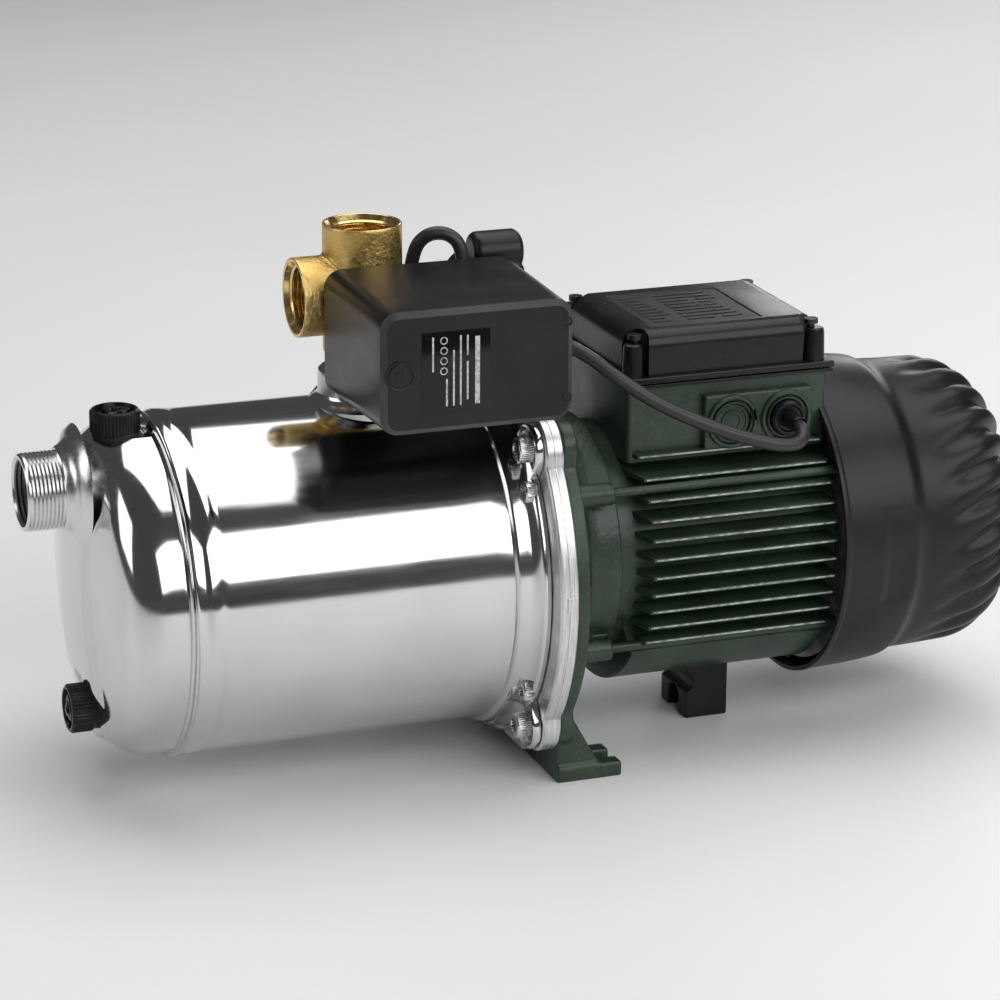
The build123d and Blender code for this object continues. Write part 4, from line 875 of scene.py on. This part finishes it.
# ------------------------ motor frame
# A die-cast barrel with level fins on its sides, a plain belly below and the terminal box's base on top.
frame_x0 = 32.5
frame_x1 = 154.5
fin_x0 = frame_x0 + 9
fin_x1 = frame_x1 - 6
fin_tip_r = 76.0
fin_root_r = 59.5
fin_pitch = 9.55
fin_low_z = -39.5
barrel_finish = green_paint("green_frame", 0.25)
frame_form = bmesh.new()
turned_x(frame_form, [(frame_x0, 56.1), (frame_x0, 60.2), (frame_x0 + 0.8, 61.0), (frame_x1 - 0.8, 61.0),
                      (frame_x1, 60.2), (frame_x1, 56.1), (frame_x0, 56.1)], steps=128)


def belly_r(angle):
    """Radius of the plain belly, which fades into the barrel above the lowest fin."""
    up = ease(sin(angle), belly_edge - 0.02, belly_edge + 0.02)
    return fin_tip_r * (1 - up) + 60.0 * up


belly_edge = (fin_low_z - fin_pitch / 2) / fin_tip_r
belly_rows = [(frame_x0 + 7, -15.5), (frame_x0 + 7, -1.2), (frame_x0 + 8, 0.0), (frame_x1 - 7, 0.0),
              (frame_x1 - 6, -1.2), (frame_x1 - 6, -15.5)]
ring_stack(frame_form, len(belly_rows), 360, lambda k, a: about_x(
    belly_rows[k][0], max(58.5, belly_r(a) + belly_rows[k][1]), a))
worn_form = bmesh.new()
for i in range(11):
    z = fin_low_z + i * fin_pitch
    root = sqrt(fin_root_r ** 2 - z ** 2)
    tip = sqrt(fin_tip_r ** 2 - z ** 2)
    for side in (-1, 1):
        low_y, high_y = sorted((side * root, side * tip))
        fin = block(frame_form, (fin_x0, low_y, z - 1.1), (fin_x1, high_y, z + 1.1))
        for vert in fin:
            if abs(vert.co.y) < mm(root + 1):
                vert.co.z += mm(0.5) * (1 if vert.co.z > axis_z + mm(z) else -1)
            elif vert.co.x < mm(fin_x0 + 1):
                vert.co.x += mm(4.0)
        edges = list({e for v in fin for e in v.link_edges
                      if all(abs(w.co.y) > mm(root + 1) for w in e.verts)})
        bevel_edges(frame_form, edges, 0.7, 3)
        # A thin pale strip along each fin's tip is a painted highlight.
        low_y, high_y = sorted((side * (tip - 0.5), side * (tip + 0.08)))
        block(worn_form, (fin_x0 + 5.5, low_y, z - 0.42), (fin_x1 - 1.5, high_y, z + 0.55), 0.2, 2)
box_low = (41.5, -46.0, 52.0)
box_high = (152.5, 46.0, 91.0)
block(frame_form, box_low, box_high, 3.0, 4, only=runs_along(2))
block(frame_form, (82.5, -51.0, 56.0), (142.5, -44.0, 85.0), 1.2, 3)
gland_z = 70.5
gland_x = 127.5
blank_x = 97.5
for x in (blank_x, gland_x):
    facing_front(frame_form, [(-50.6, 14.2), (-52.3, 14.0), (-53.0, 13.4), (-53.0, 12.2), (-52.4, 11.6),
                              (-50.8, 11.4), (-50.8, 10.9), (-53.0, 10.7), (-53.0, 9.9), (-49.0, 9.6)],
                 x, gland_z, 96)
new_piece("finned_frame", frame_form, barrel_finish, "root", ["motor_frame"], 40)


# Pale strips for the fin tips: a painted highlight where the fins' edges catch the light.
def worn_edge():
    finish = Finish("painted_highlight_fin_edge", Specular_IOR_Level=0.6)
    chips = finish.noise(260.0, 4.0)
    tone = finish.tint(chips, 0.35, 0.6, (0.14, 0.17, 0.15), (0.50, 0.53, 0.50))
    return finish.feed(Base_Color=tone, Roughness=finish.spread(chips, 0.3, 0.7, 0.30, 0.5))


new_piece("fin_highlight_strips", worn_form, worn_edge(), "root")
tie_y = 60.0
tie_z = 41.7
rods_form = bmesh.new()
for side_y in (-1, 1):
    for side_z in (-1, 1):
        y, z = side_y * tie_y, side_z * tie_z
        turned_x(rods_form, [(28.5, 0.02), (28.5, 2.5), (160.6, 2.5), (160.6, 4.3), (161.0, 4.6),
                             (163.9, 4.6), (164.3, 4.2), (164.3, 2.6), (165.6, 2.5), (166.3, 1.8),
                             (166.3, 0.02)], y, z, 32)
new_piece("frame_rods", rods_form, bracket_finish, "root", ["tie_rods"])

# ------------------------ blanked entry and cable glands
# A pressed-in blank with stepped rings closes the spare entry; a rubber-lipped gland holds the motor lead.
gland_finish = black_plastic("gland_plastic", 0.006, 0.012, 0.34)
blank_form = bmesh.new()
facing_front(blank_form, [(-45.0, 8.4), (-51.3, 9.4), (-51.7, 9.0), (-51.7, 7.6), (-51.2, 7.3), (-51.2, 6.2),
                          (-51.8, 5.9), (-51.8, 4.2), (-51.3, 3.9), (-51.3, 0.02)], blank_x, gland_z)
new_piece("blanked_entry", blank_form, barrel_finish, "root", ["blanking_plug"])
gland_form = bmesh.new()
facing_front(gland_form, [(-45.0, 8.4), (-50.8, 8.6), (-50.9, 9.4), (-56.0, 9.2), (-56.9, 8.4), (-57.0, 7.2),
                          (-56.2, 6.4), (-56.0, 4.4), (-58.6, 4.1), (-58.7, 3.62), (-52.0, 3.6)],
             gland_x, gland_z)
new_piece("lead_gland", gland_form, gland_finish, "root", ["cable_gland"])
switch_gland_form = bmesh.new()


# Along, radius and kind of a gland's rings: a hexagon, a domed nut and a tapered sleeve that eases the bend.
sleeved_gland = [(-1.5, 6.0, 0), (0.0, 6.2, 0), (0.0, 8.0, 1), (4.0, 8.0, 1), (4.2, 7.4, 0), (4.8, 7.9, 2),
                 (9.6, 7.7, 2), (10.8, 6.6, 0), (11.2, 5.6, 0), (11.2, 5.0, 0), (24.0, 4.1, 0),
                 (32.0, 3.75, 0), (32.0, 3.55, 0)]
short_gland = [row for row in sleeved_gland if row[0] < 11.3] + [(11.2, 3.7, 0)]


def switch_gland(form, start, along, side, rows):
    along, side = Vector(along), Vector(side)
    other = along.cross(side)
    base = at(*start)

    def place(k, a):
        depth, r, kind = rows[k]
        if kind == 1:
            r = hex_r(a, r)
        if kind == 2:
            r += 0.25 * cos(18 * a)
        return base + along * mm(depth) + side * mm(r * cos(a)) + other * mm(r * sin(a))
    ring_stack(form, len(rows), 108, place)


switch_gland(switch_gland_form, (-11.5, -45, 118), (1, 0, 0), (0, 1, 0), short_gland)
switch_gland(switch_gland_form, (-26.0, -25, 114), (0, 1, 0), (1, 0, 0), sleeved_gland)
new_piece("switch_gland_nuts", switch_gland_form, gland_finish, "root",
          ["switch_glands"])

# ------------------------ terminal box lid
# Moulded black plastic with wide soft edges, a lip over a gasket line, screw pillars in corner channels
# and a sunk, finely grained panel for the rating plate.
lid_finish = black_plastic("lid_plastic", 0.006, 0.011, 0.27, 0.25)
lid_form = bmesh.new()
lid_low = (42.5, -45.5, 92.5)
lid_high = (149.5, 45.5, 120.0)
block(lid_form, lid_low, lid_high)
bevel_edges(lid_form, [e for e in lid_form.edges if runs_along(2)(e)], 10.0, 8)
top_faces = [f for f in lid_form.faces if f.calc_center_median().z > axis_z + mm(119.5)]
bevel_edges(lid_form, list({e for f in top_faces for e in f.edges}), 9.0, 8)
lid_corners = [(corner_x, corner_y) for corner_x in (45.5, 146.5) for corner_y in (-42.5, 42.5)]
for corner_x, corner_y in lid_corners:
    lid_form = with_cut(lid_form, one_rod((corner_x, corner_y, 90.0), (corner_x, corner_y, 128.0), 8.2))
lid_recess = bmesh.new()
block(lid_recess, (58.5, -35.5, 119.4), (120.5, 29.0, 121.5), 0.6, 2)
lid_notch = bmesh.new()
block(lid_notch, (144.0, -4.5, 112.0), (152.0, 4.5, 121.5), 1.0, 2)
lid_form = with_cut(with_cut(lid_form, lid_recess), lid_notch)
block(lid_form, (38.5, -49.0, 93.6), (155.5, 49.0, 97.0), 0.8, 3)
block(lid_form, (39.0, -48.5, 91.2), (155.0, 48.5, 93.0), 0.4, 2)
for corner_x, corner_y in lid_corners:
    turned_z(lid_form, [(96.0, 5.9), (97.6, 5.4), (112.0, 5.0), (113.6, 4.6), (114.2, 3.6), (114.2, 0.02)],
             corner_x, corner_y, 40)
lid_form.normal_update()
new_piece("box_lid_shell", lid_form, lid_finish, "box_lid", ["terminal_box_lid"], 30)

# The sunk panel: a plain grained plate with a few raised bars in place of the maker's embossed text.
panel_form = bmesh.new()
block(panel_form, (59.0, -35.0, 119.0), (120.0, 28.5, 119.55), 0.1, 1)
for row in range(9):
    y = 22.0 - row * 6.0
    for column, length in enumerate((14.0, 20.0, 11.0)):
        x = 63.0 + column * 19.5
        block(panel_form, (x, y - 1.0, 119.5), (x + length - (row * 5 + column * 7) % 6, y + 1.0, 119.85),
              0.12, 1)
new_piece("rating_panel", panel_form, black_plastic("panel_plastic", 0.009, 0.016, 0.40, 0.9), "box_lid")

# ------------------------ fan cover
# Thin moulded black plastic, clipped on the end shield: a lip round its mouth, a smooth band with a step and a
# shallow pocket, and twisted ribs round its back edge that fade out towards the middle of the back.
cover_finish = black_plastic("cover_plastic", 0.008, 0.014, 0.36, 0.35)
cover_x0 = 148.5
cover_x1 = 263.5
cover_round_r = 34.0
rib_count = 26
rear_r = 77.5
cover_rows = [(cover_x0 + 1.5, 82.4), (cover_x0 + 0.2, 82.8), (cover_x0, 84.0), (cover_x0 + 0.5, 84.9),
              (cover_x0 + 2.4, 85.0), (cover_x0 + 3.2, 84.5), (cover_x0 + 3.8, 84.2)]
for i in range(16):
    along = i / 15
    cover_rows.append((cover_x0 + 5 + 36 * along, 84.2 - 2.2 * along ** 2))
cover_rows += [(192.0, 81.4), (193.6, 80.4), (195.4, 79.3), (198.0, 78.6)]
for i in range(12):
    along = i / 11
    cover_rows.append((200.0 + 29.0 * along, 78.3 - 0.8 * along))
cover_rows += arc(cover_x1 - cover_round_r, rear_r - cover_round_r, cover_round_r, 88, 4, 26)
cover_rows += [(cover_x1 - 0.3, 42.0), (cover_x1 - 0.2, 34.0), (cover_x1 - 0.8, 32.4), (cover_x1 - 2.6, 31.6),
               (cover_x1 - 3.0, 30.0), (cover_x1 - 2.4, 28.8), (cover_x1 - 2.2, 16.0), (cover_x1 - 2.2, 0.05)]


def cover_skin(k, angle):
    """A point of the cover: its ribs grow from the middle of the barrel to the back edge and fade inwards."""
    x, r = cover_rows[k]
    rise = ease(x, 204, 240) * ease(r, 40, 56)
    phase = rib_count * (angle + 0.0046 * (x - 200.0))
    wave = (0.5 + 0.5 * cos(phase)) ** 0.6
    valley = (0.5 - 0.5 * cos(phase)) ** 2.2
    depth = 2.6 * rise
    slope_in = max(0.0, (x - (cover_x1 - cover_round_r)) / cover_round_r)
    r -= depth * (1 - wave) * (1 - 0.6 * slope_in) + 1.6 * valley * rise
    x -= (depth * (1 - wave) + 2.2 * valley * rise) * slope_in
    off_pocket = abs(((angle - radians(182) + pi) % (2 * pi)) - pi)
    pocket = (1 - ease(off_pocket, radians(16), radians(19))) * ease(x, 173, 175) * (1 - ease(x, 183, 196))
    r -= 1.4 * pocket
    return about_x(x, r, angle)


cover_form = bmesh.new()
ring_stack(cover_form, len(cover_rows), 416, cover_skin)
fan_cover = new_piece("ribbed_cover", cover_form, cover_finish, "root", ["fan_cover"], 45)
wall = fan_cover.modifiers.new("wall", "SOLIDIFY")
wall.thickness = mm(2.2)
wall.offset = -1.0

# ------------------------ rear foot
# A moulded saddle of stiff black rubber-filled plastic, pushed up on the belly's ribs.
foot_finish = black_plastic("foot_plastic", 0.005, 0.010, 0.40, 0.5)
recast("rear_foot", "rear_saddle", 0.7, 4, foot_finish, "root")

# ------------------------ mains plug
# A two-pin plug moulded on its lead, stowed behind the switch; a ribbed sleeve eases the lead into it.
rubber_plug = black_plastic("moulded_plug_plastic", 0.006, 0.012, 0.34, 0.3)
mains_plug = recast("mains_plug", "moulded_plug", 0.6, 8, rubber_plug, "root")
sleeve_form = bmesh.new()
sleeve_rows = [(-31.0, 5.2)]
for i in range(6):
    low = -30.0 + i * 4.0
    r = 5.15 - 0.17 * i
    sleeve_rows += [(low, r), (low + 2.2, r - 0.05), (low + 2.5, r - 0.6), (low + 3.6, r - 0.65)]
sleeve_rows += [(-5.0, 4.2), (-1.5, 4.0), (-1.2, 3.6)]
turned_z(sleeve_form, [(156.0 + h, r) for h, r in sleeve_rows], -36.5, -16.0, 48)
plug_sleeve = new_piece("plug_sleeve", sleeve_form, rubber_plug, "root")

# A short sleeve eases the motor lead out of the terminal box's gland.
relief_form = bmesh.new()
switch_gland(relief_form, (gland_x, -57.0, gland_z), (0, -1, 0), (1, 0, 0),
             [(0.0, 4.4, 0), (1.0, 4.8, 0), (7.0, 4.4, 0), (11.5, 3.9, 0), (12.0, 3.6, 0)])
new_piece("lead_relief", relief_form, rubber_plug, "root")


# ------------------------ everything inside, and the small outer pieces
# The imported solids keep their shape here; each gets the finish of what it is made of.
def metal(name, dark, light, rough, scale=90.0):
    return mottled(name, (scale, 4.0), dark, light, (rough * 0.8, rough * 1.25), (0.12, 0.0003), Metallic=1.0)


def moulding(name, dark, light, rough, scale=140.0):
    return mottled(name, (scale, 3.0), dark, light, (rough * 0.85, rough * 1.15), (0.2, 0.0003),
                   Specular_IOR_Level=0.45)


def laminated(name):
    """Stacked sheets: fine bands along the shaft."""
    finish = Finish(name, Metallic=0.8)
    bands = finish.node("ShaderNodeTexWave", {"wave_type": "BANDS", "bands_direction": "X"},
                        {"Vector": finish.place(), "Scale": 320.0, "Distortion": 0.6, "Detail": 1.0}, 1)
    tone = finish.blend(bands, (0.12, 0.12, 0.13), (0.30, 0.30, 0.32))
    return finish.feed(Base_Color=tone, Roughness=finish.spread(bands, 0.0, 1.0, 0.35, 0.55),
                       Normal=finish.bump(bands, 0.4, 0.0003))


inner_finishes = {
    "bright_steel": bright_finish,
    "core_steel": laminated("laminated_steel"),
    "windings": metal("copper_winding", (0.42, 0.15, 0.06), (0.72, 0.32, 0.14), 0.35, 260.0),
    "dark_cast": metal("cast_aluminium", (0.30, 0.30, 0.31), (0.52, 0.52, 0.53), 0.5),
    "black_plastic": gland_finish,
    "pale_plastic": moulding("pale_moulding", (0.56, 0.54, 0.48), (0.74, 0.72, 0.66), 0.45),
    "seal_rubber": moulding("nitrile_rubber", (0.010, 0.010, 0.010), (0.022, 0.022, 0.022), 0.6),
    "seal_ceramic": moulding("lapped_ceramic", (0.62, 0.60, 0.56), (0.82, 0.80, 0.76), 0.2),
    "moulded_plug": rubber_plug,
}
# The terminal box lid's screws get a near-black steel finish instead of bright steel.
blacked = metal("near_black_steel", (0.03, 0.03, 0.03), (0.07, 0.07, 0.07), 0.4)
for part in frame["record"]["subparts"]:
    finish = inner_finishes.get(part["material_slot"])
    if part["node"] == "lid_screws":
        finish = blacked
    if finish is not None:
        solid = frame["nodes"][part["node"]]
        solid.data.materials.clear()
        solid.data.materials.append(finish)
